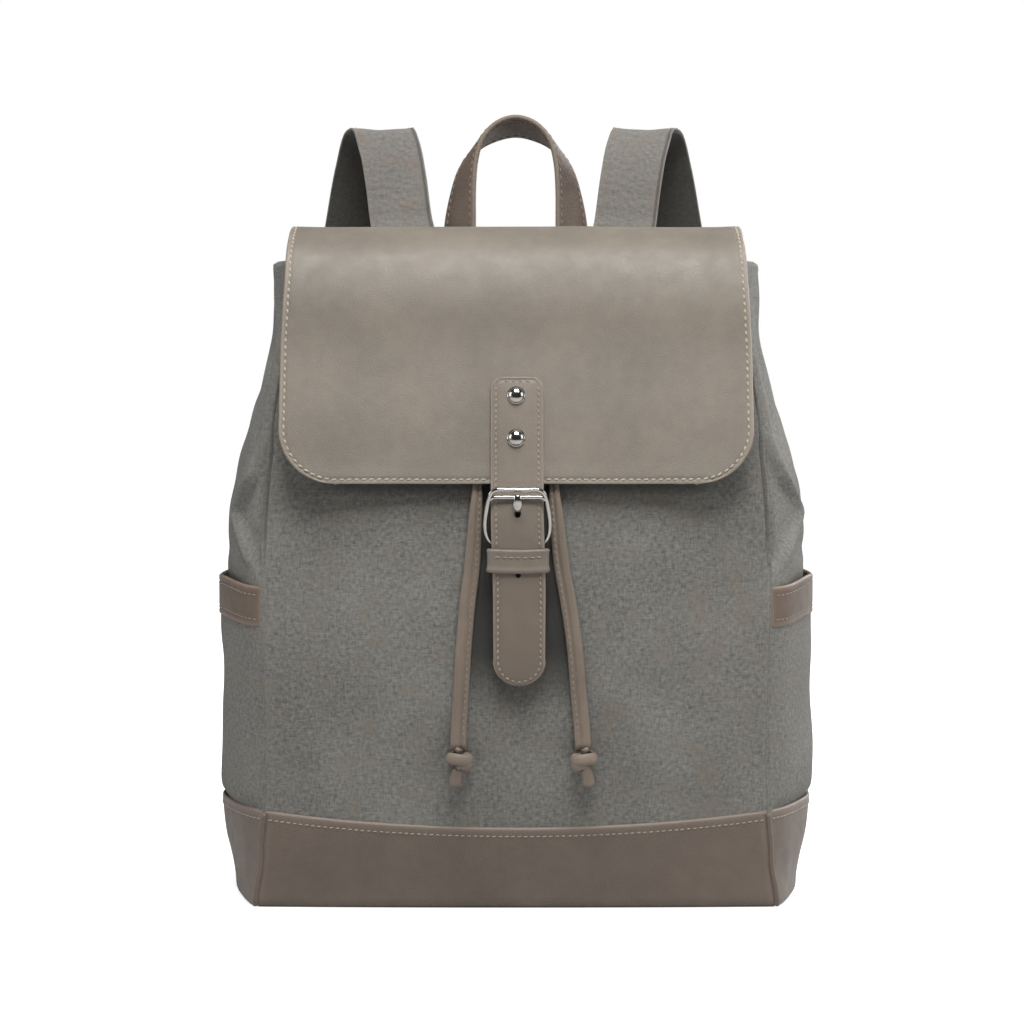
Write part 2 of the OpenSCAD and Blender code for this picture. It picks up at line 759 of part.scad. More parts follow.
// A slider whose middle bar is in front of the webbing and whose end bars are behind it.
module adjuster_right() {
    from = webbing_route[1];
    to = webbing_route[0];
    d = to - from;
    half_w = webbing_w / 2 + 2.6;
    half_h = 10;
    bar_r = 1.5;
    reach = webbing_t / 2 + bar_r + 0.4;
    color(steel)
        translate(from + d * (adjuster_z - from[2]) / d[2])
            rotate([-atan2(d[1], d[2]), 0, 0])
                rotate([0, atan2(d[0], norm([d[1], d[2]])), 0]) {
                    for (side = [-1, 1]) {
                        translate([side * half_w, 0, 0])
                            cube([3, 2 * reach, 2 * half_h], center = true);
                        translate([0, reach, side * (half_h - bar_r)])
                            rotate([0, 90, 0]) cylinder(r = bar_r, h = 2 * half_w, center = true);
                    }
                    translate([0, -reach, 0])
                        rotate([0, 90, 0]) cylinder(r = bar_r, h = 2 * half_w, center = true);
                }
}
module adjuster_left() {
    mirror([1, 0, 0]) adjuster_right();
}

front_panel();
gusset_left();
gusset_right();
back_panel();
back_foam();
base_front();
base_left();
base_right();
base_back();
base_bottom();
base_board();
lining();
inner_sleeve();
mouth_hem();
drawcord_loop();
eyelets();
pocket_left();
pocket_right();
pocket_band_left();
pocket_band_right();
snap_socket();
snap_washer();
back_yoke();
handle_anchors();
strap_anchor_left();
strap_anchor_right();
strap_tab_left();
strap_tab_right();
flap_leather();
flap_lining();
closure_strap();
strap_rivets();
rivet_washers();
buckle_chape();
strap_keeper();
snap_stud();
buckle_frame();
buckle_prong();
handle_strap();
strap_outer_left();
strap_outer_right();
strap_lining_left();
strap_lining_right();
webbing_left();
webbing_right();
adjuster_left();
adjuster_right();
drawcord_left();
drawcord_right();
knot_left();
knot_right();
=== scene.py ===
"""Travel backpack: canvas body, leather base and flap, drawcord mouth, handle and straps.

Lengths inside this script are millimetres in the part's own frame, and become metres when a
mesh is made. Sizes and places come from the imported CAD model.
"""
import math

import bmesh
import bpy
import numpy as np
from mathutils import Matrix, Vector


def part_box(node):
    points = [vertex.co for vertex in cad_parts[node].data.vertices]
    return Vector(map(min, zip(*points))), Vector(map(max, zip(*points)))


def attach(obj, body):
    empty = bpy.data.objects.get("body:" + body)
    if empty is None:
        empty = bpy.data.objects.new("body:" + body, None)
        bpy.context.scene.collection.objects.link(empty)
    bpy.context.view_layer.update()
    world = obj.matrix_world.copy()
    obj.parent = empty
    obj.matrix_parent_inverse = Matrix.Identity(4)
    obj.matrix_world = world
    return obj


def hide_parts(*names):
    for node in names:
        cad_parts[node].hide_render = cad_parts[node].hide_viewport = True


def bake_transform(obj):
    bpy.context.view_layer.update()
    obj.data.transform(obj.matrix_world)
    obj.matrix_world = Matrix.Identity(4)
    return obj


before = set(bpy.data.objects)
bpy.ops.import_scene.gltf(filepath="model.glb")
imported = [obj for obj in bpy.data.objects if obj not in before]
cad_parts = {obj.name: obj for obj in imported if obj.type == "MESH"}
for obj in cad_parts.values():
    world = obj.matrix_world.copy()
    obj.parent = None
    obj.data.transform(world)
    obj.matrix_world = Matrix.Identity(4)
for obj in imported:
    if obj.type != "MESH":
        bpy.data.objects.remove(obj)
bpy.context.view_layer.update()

MM = 0.001


def node_box(node):
    """Lowest and highest corner of a CAD node, in millimetres."""
    low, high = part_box(node)
    return np.array(low) / MM, np.array(high) / MM


# ---------------------------------------------------------------- driving sizes, from the CAD

RIM = node_box("mouth_hem")[1][2]
BASE_TOP = node_box("base_front")[1][2]
BAND_LOW, BAND_TOP = node_box("pocket_band_right")[0][2], node_box("pocket_band_right")[1][2]
POCKET_REACH = node_box("pocket_right")[1][0]
BACK_Y = node_box("gusset_right")[1][1]
FLAP_HALF = node_box("flap_leather")[1][0]
FLAP_LOW = node_box("flap_leather")[0][2]
STRAP_HALF = node_box("closure_strap")[1][0]
STRAP_TIP = node_box("closure_strap")[0][2]
KEEPER_LOW, KEEPER_TOP = node_box("strap_keeper")[0][2], node_box("strap_keeper")[1][2]
CANVAS_T, LEATHER_T, FLAP_T = 2.0, 2.0, 1.6
FLAP_CORNER_R = 30.0
EYELET_X, EYELET_Z = 18.0, 335.0
CORD_W, CORD_T = 8.5, 3.4


def side_name(side):
    return "right" if side > 0 else "left"


def body_for(what, side):
    return f"{side_name(side)}_{what}"


# ---------------------------------------------------------------- small maths

def mix(a, b, t):
    return a + (b - a) * t


def ramp(low, high, x):
    """0 below low, 1 above high, smooth between."""
    t = np.clip((np.asarray(x, float) - low) / (high - low), 0, 1)
    return t * t * (3 - 2 * t)


def bell(x, centre, width):
    return np.exp(-((np.asarray(x, float) - centre) / width) ** 2)


def unit(v):
    v = np.asarray(v, float)
    return v / np.maximum(np.linalg.norm(v, axis=-1, keepdims=True), 1e-9)


def travel(path):
    """Distance along a path at each of its points."""
    return np.concatenate([[0], np.cumsum(np.linalg.norm(np.diff(path, axis=0), axis=1))])


def on_curve(s, along, points):
    """Points, or normals, at distances s along a curve."""
    return np.stack([np.interp(s, along, points[:, k]) for k in range(3)], axis=-1)


def tangents(path, closed=False):
    if closed:
        return unit(np.roll(path, -1, axis=0) - np.roll(path, 1, axis=0))
    return unit(np.gradient(path, axis=0))


def corner_loss(r, left):
    """How much a round corner of radius r takes off the width, at a distance left from the end."""
    return r - np.sqrt(np.maximum(0, r ** 2 - (r - left) ** 2))


def points_from(x, y, z):
    """Points from three coordinates, each an array or one value."""
    return np.stack(np.broadcast_arrays(x, y, z), axis=-1)


def edge_distance(a, b):
    """How far each point of a grid with coordinates a and b is from the grid's nearest edge."""
    return np.minimum.reduce([a - a.min(), a.max() - a, b - b.min(), b.max() - b])


def rounded_loop(half_x, half_y, r, arc_points, step):
    """A closed rectangle with round corners, its points no more than about step apart."""
    loop = []
    for sx, sy, start in ((1, 1, 0), (-1, 1, 90), (-1, -1, 180), (1, -1, 270)):
        for t in np.radians(np.linspace(start, start + 90, arc_points)):
            loop.append((sx * (half_x - r) + r * np.cos(t), sy * (half_y - r) + r * np.sin(t)))
    loop = np.array(loop)
    dense = []
    for a, b in zip(loop, np.roll(loop, -1, axis=0)):
        steps = max(1, int(np.linalg.norm(b - a) / step))
        dense += [mix(a, b, k / steps) for k in range(steps)]
    return np.array(dense)


def profile(table):
    """A smooth curve through a few [place, value] rows."""
    xs, ys = np.array(table, float).T
    slopes = np.gradient(ys, xs)

    def at(x):
        x = np.clip(np.asarray(x, float), xs[0], xs[-1])
        i = np.clip(np.searchsorted(xs, x, side="right") - 1, 0, len(xs) - 2)
        h = xs[i + 1] - xs[i]
        t = (x - xs[i]) / h
        a, b = (1 + 2 * t) * (1 - t) ** 2, t * (1 - t) ** 2
        c, d = t * t * (3 - 2 * t), t * t * (t - 1)
        return a * ys[i] + b * h * slopes[i] + c * ys[i + 1] + d * h * slopes[i + 1]
    return at


def smooth_path(points, step):
    """Points about step apart along a smooth curve through a given route."""
    p = np.array(points, float)
    along = travel(p)
    curves = [profile(np.column_stack([along, p[:, k]])) for k in range(3)]
    n = max(4, int(round(along[-1] / step)))
    s = np.linspace(0, along[-1], n + 1)
    return np.column_stack([c(s) for c in curves])


def waves(x, y, seed, scale):
    """Soft, repeatable unevenness of about +-1, from a few crossing sine waves."""
    rng = np.random.default_rng(seed)
    total = 0
    for _ in range(7):
        a, phase, k = rng.uniform(0, 2 * np.pi), rng.uniform(0, 2 * np.pi), rng.uniform(0.5, 1.6)
        total = total + np.sin((x * np.cos(a) + y * np.sin(a)) * k * 2 * np.pi / scale + phase)
    return total / 3.0


def spread(low, high, n, fine_low=0.0, fine_high=0.0, cells=8):
    """n even steps, with extra narrow cells over fine_low and fine_high millimetres at the ends."""
    a = low + fine_low * np.linspace(0, 1, cells, endpoint=False) if fine_low else np.array([])
    b = np.linspace(low + fine_low, high - fine_high, n)
    c = high - fine_high * np.linspace(0, 1, cells, endpoint=False)[::-1] if fine_high else np.array([])
    return np.concatenate([a, b, c])


# ---------------------------------------------------------------- materials

def srgb(r, g, b):
    """An 8-bit display colour as a linear one."""
    return tuple((c / 255 / 12.92 if c / 255 <= 0.04045 else ((c / 255 + 0.055) / 1.055) ** 2.4)
                 for c in (r, g, b)) + (1.0,)


class Shader:
    """A material with its node tree, and short ways to add nodes."""

    def __init__(self, name, roughness, **constants):
        self.material = bpy.data.materials.new(name)
        self.material.use_nodes = True
        self.tree = self.material.node_tree
        self.bsdf = self.tree.nodes["Principled BSDF"]
        self.bsdf.inputs["Roughness"].default_value = roughness
        for socket, value in constants.items():
            self.bsdf.inputs[socket.replace("_", " ")].default_value = value
        self.uv = self.node("ShaderNodeTexCoord").outputs["UV"]
        self.place = self.node("ShaderNodeTexCoord").outputs["Object"]

    def node(self, kind, **settings):
        n = self.tree.nodes.new(kind)
        for key, value in settings.items():
            setattr(n, key, value)
        return n

    def link(self, a, b):
        self.tree.links.new(a, b)

    def math(self, operation, a, b=0.0):
        n = self.node("ShaderNodeMath", operation=operation)
        for socket, value in zip(n.inputs, (a, b)):
            if isinstance(value, (int, float)):
                socket.default_value = value
            else:
                self.link(value, socket)
        return n.outputs[0]

    def total(self, *terms):
        """The sum of [value, weight] terms."""
        out = None
        for value, weight in terms:
            part = self.math("MULTIPLY", value, weight)
            out = part if out is None else self.math("ADD", out, part)
        return out

    def scaled(self, source, scale):
        n = self.node("ShaderNodeMapping")
        n.inputs["Scale"].default_value = scale
        self.link(source, n.inputs["Vector"])
        return n.outputs[0]

    def noise(self, source, size_mm, detail=2.0, stretch=(1, 1, 1)):
        """Noise whose features are about size_mm across."""
        n = self.node("ShaderNodeTexNoise")
        n.inputs["Scale"].default_value = 1.0
        n.inputs["Detail"].default_value = detail
        k = 1000.0 / size_mm
        self.link(self.scaled(source, (k / stretch[0], k / stretch[1], k / stretch[2])), n.inputs["Vector"])
        return n.outputs["Fac"]

    def cells(self, source, size_mm, feature="F1"):
        n = self.node("ShaderNodeTexVoronoi", feature=feature)
        n.inputs["Scale"].default_value = 1000.0 / size_mm
        self.link(source, n.inputs["Vector"])
        return n.outputs["Distance"]

    def remap(self, value, low, high, to_low=0.0, to_high=1.0):
        n = self.node("ShaderNodeMapRange")
        self.link(value, n.inputs["Value"])
        for name, v in (("From Min", low), ("From Max", high), ("To Min", to_low), ("To Max", to_high)):
            n.inputs[name].default_value = v
        return n.outputs["Result"]

    def blend(self, factor, a, b):
        n = self.node("ShaderNodeMix", data_type="RGBA")
        if isinstance(factor, (int, float)):
            n.inputs[0].default_value = factor
        else:
            self.link(factor, n.inputs[0])
        for socket, value in ((n.inputs[6], a), (n.inputs[7], b)):
            if isinstance(value, tuple):
                socket.default_value = value
            else:
                self.link(value, socket)
        return n.outputs[2]

    def wear(self):
        """How near a surface point is to a worn edge, stored on the mesh: 0 inside, 1 at the edge."""
        return self.node("ShaderNodeAttribute", attribute_name="wear").outputs["Fac"]

    def painted_shade_and_tone(self):
        """Painted shade under the flap's edge, between the cords and the strap and in the seam tucks, and a
        darker tone on the closure strap's free end, stored on the mesh.
        """
        return self.node("ShaderNodeAttribute", attribute_name="painted_shade_and_tone").outputs["Fac"]

    def bump(self, height, distance_mm, strength=1.0):
        n = self.node("ShaderNodeBump")
        n.inputs["Distance"].default_value = distance_mm * MM
        n.inputs["Strength"].default_value = strength
        self.link(height, n.inputs["Height"])
        self.link(n.outputs["Normal"], self.bsdf.inputs["Normal"])

    def colour(self, value):
        self.link(value, self.bsdf.inputs["Base Color"])

    def rough(self, value):
        self.link(value, self.bsdf.inputs["Roughness"])


def shade(colour, factor):
    return tuple(c * factor for c in colour[:3]) + (1.0,)


def woven(name, colour, pitch=0.85, mottle=0.34, sheen=0.12, relief=0.16, pucker=0.0):
    """Plain weave cloth: crossing threads, slubs along both thread directions, and washed patches."""
    s = Shader(name, 0.92, Sheen_Weight=sheen, Sheen_Roughness=0.6, Specular_IOR_Level=0.2)
    xyz = s.node("ShaderNodeSeparateXYZ")
    s.link(s.uv, xyz.inputs[0])
    k = 2 * math.pi / (pitch * MM)
    warp = s.math("SINE", s.math("MULTIPLY", xyz.outputs[0], k))
    weft = s.math("SINE", s.math("MULTIPLY", xyz.outputs[1], k))
    threads = s.math("MULTIPLY", warp, weft)
    slub_a = s.noise(s.uv, 1.1, 2.0, (3.4, 0.8, 1))
    slub_b = s.noise(s.uv, 1.1, 2.0, (0.8, 3.4, 1))
    flecks = s.noise(s.uv, 2.3, 3.0)
    specks = s.remap(s.noise(s.uv, 0.9, 1.0), 0.58, 0.70)
    patches = s.noise(s.place, 46.0, 3.0)
    slubs = s.math("ADD", slub_a, slub_b)
    tone = s.total((slubs, 0.42), (flecks, 0.62), (patches, 0.34), (threads, 0.06))
    base = s.blend(s.remap(tone, 0.66, 1.10), shade(colour, 1 - mottle), shade(colour, 1 + mottle))
    base = s.blend(s.math("MULTIPLY", specks, 0.25), base, shade(colour, 1.7))
    warm = s.remap(s.noise(s.place, 14.0, 2.0), 0.5, 0.72, 0.0, 0.5)
    base = s.blend(warm, base, (colour[0] * 1.16, colour[1] * 1.0, colour[2] * 0.88, 1.0))
    # Painted shade: the cloth is darkened where the mesh stores shade under the flap, between the cords and
    # the strap, and in the seam tucks.
    base = s.blend(s.math("MULTIPLY", s.painted_shade_and_tone(), 0.95), base, shade(colour, 0.20))
    base = s.blend(s.math("MULTIPLY", s.wear(), 0.35), base, shade(colour, 1.45))
    s.colour(base)
    height = s.math("ADD", threads, s.math("MULTIPLY", slubs, 1.4))
    if pucker:
        height = s.math("ADD", height, s.math("MULTIPLY", s.noise(s.uv, 3.2, 2.0), pucker))
    s.bump(height, relief)
    return s.material


def leather(name, colour, edge, grain=0.9, roughness=0.5, relief=0.055, mottle=0.15):
    """Grained leather: fine cells, soft clouding, and a paler worn edge."""
    s = Shader(name, roughness, Specular_IOR_Level=0.5, Coat_Weight=0.10, Coat_Roughness=0.42,
               Sheen_Weight=0.06)
    clouds = s.noise(s.place, 38.0, 4.0)
    spots = s.noise(s.place, 6.5, 3.0)
    fine = s.noise(s.place, 0.9, 2.0)
    cells = s.cells(s.place, grain, "DISTANCE_TO_EDGE")
    pores = s.remap(cells, 0.0, 0.22)
    tone = s.total((clouds, 0.75), (spots, 0.35), (fine, 0.18))
    base = s.blend(s.remap(tone, 0.45, 0.85), shade(colour, 1 - mottle), shade(colour, 1 + mottle))
    base = s.blend(s.remap(pores, 0.0, 1.0, 0.14, 0.0), base, shade(colour, 0.55))
    # A darker tone where the mesh asks for it, on the closure strap's free end.
    darker_tone = (colour[0] * 0.79, colour[1] * 0.75, colour[2] * 0.72, 1.0)
    base = s.blend(s.painted_shade_and_tone(), base, darker_tone)
    base = s.blend(s.math("MULTIPLY", s.wear(), 0.75), base, edge)
    s.colour(base)
    s.rough(s.remap(s.noise(s.place, 9.0, 3.0), 0.3, 0.7, roughness - 0.07, roughness + 0.10))
    s.bump(s.math("ADD", pores, s.math("MULTIPLY", fine, 0.9)), relief)
    return s.material


def metal(name, colour, roughness=0.16):
    """Polished plated steel with faint smudges and hairline scratches."""
    s = Shader(name, roughness, Metallic=1.0)
    smudge = s.noise(s.place, 4.0, 4.0)
    lines = s.noise(s.place, 0.5, 2.0, (6, 1, 1))
    s.colour(s.blend(s.remap(smudge, 0.35, 0.7), shade(colour, 0.86), colour))
    s.rough(s.remap(s.math("ADD", smudge, s.math("MULTIPLY", lines, 0.4)), 0.4, 1.0, roughness * 0.7,
                    roughness * 1.6))
    s.bump(lines, 0.01)
    return s.material


def thread(name, colour):
    """Twisted sewing thread."""
    s = Shader(name, 0.75, Sheen_Weight=0.3)
    twist = s.noise(s.place, 0.5, 1.0, (1, 1, 2))
    s.colour(s.blend(s.remap(twist, 0.35, 0.65), shade(colour, 0.72), shade(colour, 1.1)))
    s.bump(twist, 0.12)
    return s.material


CANVAS = woven("canvas", srgb(110, 109, 104), mottle=0.46)
CANVAS_LIGHT = woven("strap_canvas", srgb(116, 113, 108), pitch=1.2, mottle=0.26, relief=0.22, pucker=7.0)
LINING = woven("lining_cloth", srgb(62, 59, 55), pitch=0.6, mottle=0.18, relief=0.08)
STRAP_LINING = woven("strap_lining_cloth", srgb(62, 60, 56), pitch=1.0, mottle=0.30, relief=0.2)
WEBBING = woven("webbing_weave", srgb(70, 66, 62), pitch=1.6, mottle=0.12, relief=0.35)
FLAP_LEATHER = leather("flap_leather_taupe", srgb(111, 103, 92), srgb(143, 131, 117), roughness=0.54)
STRAP_LEATHER = leather("strap_leather_taupe", srgb(111, 101, 90), srgb(138, 125, 112), roughness=0.5)
BASE_LEATHER = leather("base_leather_taupe", srgb(93, 81, 71), srgb(121, 108, 97), grain=1.4,
                       roughness=0.55, relief=0.09)
TRIM_LEATHER = leather("trim_leather_brown", srgb(89, 73, 61), srgb(122, 105, 90), roughness=0.6)
HANDLE_LEATHER = leather("handle_leather_brown", srgb(82, 68, 57), srgb(116, 103, 90), grain=1.5,
                         roughness=0.6, relief=0.10, mottle=0.28)
CORD_LEATHER = leather("cord_leather", srgb(112, 99, 87), srgb(135, 123, 109), grain=0.8, roughness=0.55)
CHROME = metal("polished_nickel", (0.46, 0.44, 0.42, 1), roughness=0.13)
THREAD = thread("cream_thread", srgb(168, 157, 140))
STRAP_THREAD = thread("sand_thread", srgb(142, 131, 115))
DARK_THREAD = thread("taupe_thread", srgb(120, 108, 95))


def foam(name, colour):
    """Open-cell foam: round pores and faint yellowing."""
    s = Shader(name, 0.95, Specular_IOR_Level=0.1)
    pores = s.cells(s.place, 1.6)
    s.colour(s.blend(s.remap(pores, 0.1, 0.6), shade(colour, 0.6), shade(colour, 1.1)))
    s.bump(pores, 0.3)
    return s.material


def fibreboard(name, colour):
    """Pressed board with short fibres lying every way."""
    s = Shader(name, 0.85, Specular_IOR_Level=0.25)
    fibres = s.math("ADD", s.noise(s.place, 1.2, 3.0, (5, 1, 1)), s.noise(s.place, 1.2, 3.0, (1, 5, 1)))
    s.colour(s.blend(s.remap(fibres, 0.75, 1.25), shade(colour, 0.75), shade(colour, 1.2)))
    s.bump(fibres, 0.08)
    return s.material


FOAM = foam("grey_foam", srgb(120, 118, 112))
BOARD = fibreboard("grey_board", srgb(96, 90, 82))


# ---------------------------------------------------------------- mesh building

def piece(name, verts, faces, material, body, nodes=(), uv=None, wear=None, painted_shade_and_tone=None):
    """A finished piece from points in millimetres, riding on its body and standing for its CAD nodes."""
    mesh = bpy.data.meshes.new(name)
    mesh.from_pydata((np.asarray(verts, float) * MM).tolist(), [], [list(map(int, f)) for f in faces])
    mesh.validate()
    obj = bpy.data.objects.new(name, mesh)
    bpy.context.scene.collection.objects.link(obj)
    if uv is not None:
        layer = mesh.uv_layers.new(name="uv")
        loops = np.empty(len(mesh.loops), int)
        mesh.loops.foreach_get("vertex_index", loops)
        layer.data.foreach_set("uv", (np.asarray(uv, float)[loops] * MM).ravel())
    for label, values in (("wear", wear), ("painted_shade_and_tone", painted_shade_and_tone)):
        if values is not None:
            data = mesh.attributes.new(label, "FLOAT", "POINT").data
            data.foreach_set("value", np.asarray(values, float).ravel())
    bm = bmesh.new()
    bm.from_mesh(mesh)
    bmesh.ops.recalc_face_normals(bm, faces=bm.faces)
    bm.to_mesh(mesh)
    bm.free()
    mesh.polygons.foreach_set("use_smooth", [True] * len(mesh.polygons))
    mesh.materials.append(material)
    if body:
        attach(obj, body)
    if nodes:
        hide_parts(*nodes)
    return obj


def grid_normals(p, closed=False):
    if closed:
        across = np.roll(p, -1, axis=1) - np.roll(p, 1, axis=1)
    else:
        across = np.gradient(p, axis=1)
    return unit(np.cross(across, np.gradient(p, axis=0)))


def lengths(p):
    """Distances along the rows and columns of a grid, for an unstretched weave."""
    across, up = (np.linalg.norm(np.diff(p, axis=k), axis=2).cumsum(axis=k) for k in (1, 0))
    across = np.concatenate([np.zeros((len(p), 1)), across], axis=1)
    up = np.concatenate([np.zeros((1, p.shape[1])), up])
    middle = across[:, across.shape[1] // 2][:, None]
    return across - middle, np.broadcast_to(up.mean(axis=1)[:, None], across.shape)


def sheet(name, p, thickness, material, body, nodes=(), wear_width=0.0, roll=0.42, inner=None,
          painted_shade_and_tone=None, wear=None):
    """A closed sheet of cloth or leather with rounded edges. Rows go up and columns go to the
    right seen from outside. inner is the inner face where it isn't just parallel."""
    rows, cols = p.shape[:2]
    normal = grid_normals(p)
    low = p - normal * thickness if inner is None else inner
    index = np.arange(rows * cols).reshape(rows, cols)
    ring = np.concatenate([index[0, :-1], index[:-1, -1], index[-1, :0:-1], index[:0:-1, 0]])
    flat_p, flat_low = p.reshape(-1, 3), low.reshape(-1, 3)
    # The rolled edge: a ridge line between both faces, pushed outwards.
    out = np.zeros_like(p)
    out[0] += unit(p[0] - p[1])
    out[-1] += unit(p[-1] - p[-2])
    out[:, 0] += unit(p[:, 0] - p[:, 1])
    out[:, -1] += unit(p[:, -1] - p[:, -2])
    ridge = (flat_p + flat_low)[ring] / 2 + unit(out.reshape(-1, 3)[ring]) * thickness * roll
    n, m = rows * cols, len(ring)
    a, b = index[:-1, :-1].ravel(), index[:-1, 1:].ravel()
    c, d = index[1:, 1:].ravel(), index[1:, :-1].ravel()
    faces = np.concatenate([np.column_stack([a, b, c, d]), np.column_stack([d, c, b, a]) + n])
    k = np.arange(m)
    k2 = (k + 1) % m
    rim = np.concatenate([np.column_stack([ring[k], 2 * n + k, 2 * n + k2, ring[k2]]),
                          np.column_stack([2 * n + k, n + ring[k], n + ring[k2], 2 * n + k2])])
    u, v = lengths(p)
    uv = np.column_stack([u.ravel(), v.ravel()])
    uv = np.concatenate([uv, uv, uv[ring]])
    if wear is not None:
        wear = np.concatenate([wear.ravel(), wear.ravel(), wear.ravel()[ring]])
    if wear_width:
        far_u = np.minimum(u - u[:, :1], u[:, -1:] - u)
        far_v = np.minimum(v, v[-1:] - v)
        near = np.exp(-np.minimum(far_u, far_v) / wear_width).ravel()
        wear = np.concatenate([near, near, np.ones(m)])
    if painted_shade_and_tone is not None:
        painted_shade_and_tone = np.concatenate([painted_shade_and_tone.ravel(), painted_shade_and_tone.ravel(), painted_shade_and_tone.ravel()[ring]])
    return piece(name, np.concatenate([flat_p, flat_low, ridge]), np.concatenate([faces, rim]),
                 material, body, nodes, uv, wear, painted_shade_and_tone)


def loft(name, sections, material, body, nodes=(), closed=False, wear=None):
    """A solid through sections, each a ring of points. A closed one joins its ends."""
    s = np.asarray(sections, float)
    n, m = s.shape[:2]
    rows = n if closed else n - 1
    i, j = np.meshgrid(np.arange(rows), np.arange(m), indexing="ij")
    i2, j2 = (i + 1) % n, (j + 1) % m
    corners = (i * m + j, i2 * m + j, i2 * m + j2, i * m + j2)
    faces = [list(q) for q in np.column_stack([c.ravel() for c in corners])]
    if not closed:
        faces += [list(range(m)), list(range((n - 1) * m, n * m))]
    u, v = np.meshgrid(travel(s[0]), travel(s.mean(axis=1)))
    return piece(name, s.reshape(-1, 3), faces, material, body, nodes,
                 np.column_stack([u.ravel(), v.ravel()]), wear)


def frames(path, across=(1, 0, 0), closed=False):
    """Across and through directions at each point of a path."""
    path = np.asarray(path, float)
    t = tangents(path, closed)
    ref = np.broadcast_to(np.asarray(across, float), path.shape)
    w = unit(ref - (ref * t).sum(axis=1, keepdims=True) * t)
    return w, np.cross(t, w)


def carry(path, w, n, shape, widths=1.0, depths=1.0):
    """Sections of a shape along a path with its own directions across, w, and through, n."""
    k, d = (np.broadcast_to(v, len(path))[:, None, None] for v in (widths, depths))
    return path[:, None] + w[:, None] * (shape[None, :, :1] * k) + n[:, None] * (shape[None, :, 1:] * d)


def sweep(path, shape, across=(1, 0, 0), widths=1.0):
    """Sections of a shape carried along a path. Shape rows are [across, through] in millimetres."""
    w, n = frames(path, across)
    return carry(np.asarray(path), w, n, np.asarray(shape, float), widths)


def circle_shape(r, sides=12):
    a = np.arange(sides) * 2 * np.pi / sides
    return np.column_stack([r * np.cos(a), r * np.sin(a)])


def strap_shape(width, thickness, crown=0.0, cells=14):
    """A flat strap's section: rounded edges, a shallow groove where it is stitched, a raised middle."""
    half, t = width / 2, thickness / 2
    edge = min(t, half * 0.5)
    a = np.linspace(-np.pi / 2, np.pi / 2, 7)
    x = np.linspace(half - edge, -half + edge, cells)[1:-1]
    groove = 0.22 * bell(np.abs(x), half - 2.8, 0.9)
    rise = crown * (1 - (x / half) ** 2) - groove
    right = np.column_stack([half - edge + edge * np.cos(a), t * np.sin(a)])
    top = np.column_stack([x, t + rise])
    left = np.column_stack([-half + edge - edge * np.cos(a), -t * np.sin(a)])
    bottom = np.column_stack([-x, -t - rise])
    return np.concatenate([right, top, left, bottom])


def wire(name, path, r, body, closed=False, nodes=(), sides=12, material=None):
    """A round bar along a path, turning with it."""
    path = np.asarray(path, float)
    t = tangents(path, closed)
    w = np.zeros_like(path)
    start = np.cross(t[0], [0.3, 1.0, 0.1])
    for i, d in enumerate(t):
        start = unit(start - d * np.dot(start, d))
        w[i] = start
    rings = carry(path, w, np.cross(t, w), circle_shape(r, sides))
    return loft(name, rings, material or CHROME, body, nodes, closed)


class Seam:
    """A row, or several rows, of real stitches joined in one piece."""

    def __init__(self):
        self.verts, self.faces, self.count = [], [], 0

    def add(self, path, normals, pitch=5.0, length=3.2, r=0.42, slant=0.0, lift=0.1):
        path = np.asarray(path, float)
        normals = np.broadcast_to(np.asarray(normals, float), path.shape)
        along = travel(path)
        n = max(1, int(along[-1] // pitch))
        middle = (np.arange(n) + 0.5) * along[-1] / n
        ease = np.array([-0.5, -0.38, 0.0, 0.38, 0.5])
        fat = np.array([0.35, 0.85, 1.0, 0.85, 0.35])
        dip = np.array([-0.6, -0.15, 0.0, -0.15, -0.6]) * r
        a = np.arange(6) * np.pi / 3
        nm = unit(on_curve(middle, along, normals))
        t = unit(on_curve(middle + 0.5, along, path) - on_curve(middle - 0.5, along, path))
        side = unit(np.cross(nm, t))
        t = unit(t + side * slant)
        side = unit(np.cross(nm, t))
        centre = on_curve(middle, along, path) + nm * lift
        ring = (centre[:, None, None] + t[:, None, None] * (ease * length)[None, :, None, None]
                + nm[:, None, None] * (dip[:, None] + fat[:, None] * r * np.sin(a))[None, :, :, None]
                + side[:, None, None] * (fat[:, None] * r * np.cos(a))[None, :, :, None])
        self.verts.append(ring.reshape(-1, 3))
        quad = [(i * 6 + j, i * 6 + (j + 1) % 6, i * 6 + 6 + (j + 1) % 6, i * 6 + 6 + j)
                for i in range(4) for j in range(6)]
        for k in range(n):
            base = self.count + 30 * k
            self.faces += [[base + q for q in f] for f in quad]
            self.faces += [[base + q for q in range(6)], [base + 24 + q for q in range(6)]]
        self.count += 30 * n

    def make(self, name, body, material=None):
        return piece(name, np.concatenate(self.verts), self.faces, material or THREAD, body)


def surface_path(fn, a, b, lift=0.0):
    """Points and outward normals of a surface fn(a, b) along paired values."""
    a, b = np.broadcast_arrays(np.asarray(a, float), np.asarray(b, float))
    e = 1e-3
    p = fn(a, b)
    normal = unit(np.cross(fn(a + e, b) - fn(a - e, b), fn(a, b + e * 100) - fn(a, b - e * 100)))
    return p + normal * lift, normal


# ---------------------------------------------------------------- camera, light and floor

CAMERA_PLACE = (-0.0022, -1.6, 0.290)
CAMERA_LENS_MM, CAMERA_SENSOR_MM = 101.4, 36.0
CAMERA_LOOKS_DOWN = 2.92
ROOM_LIGHT = 0.05


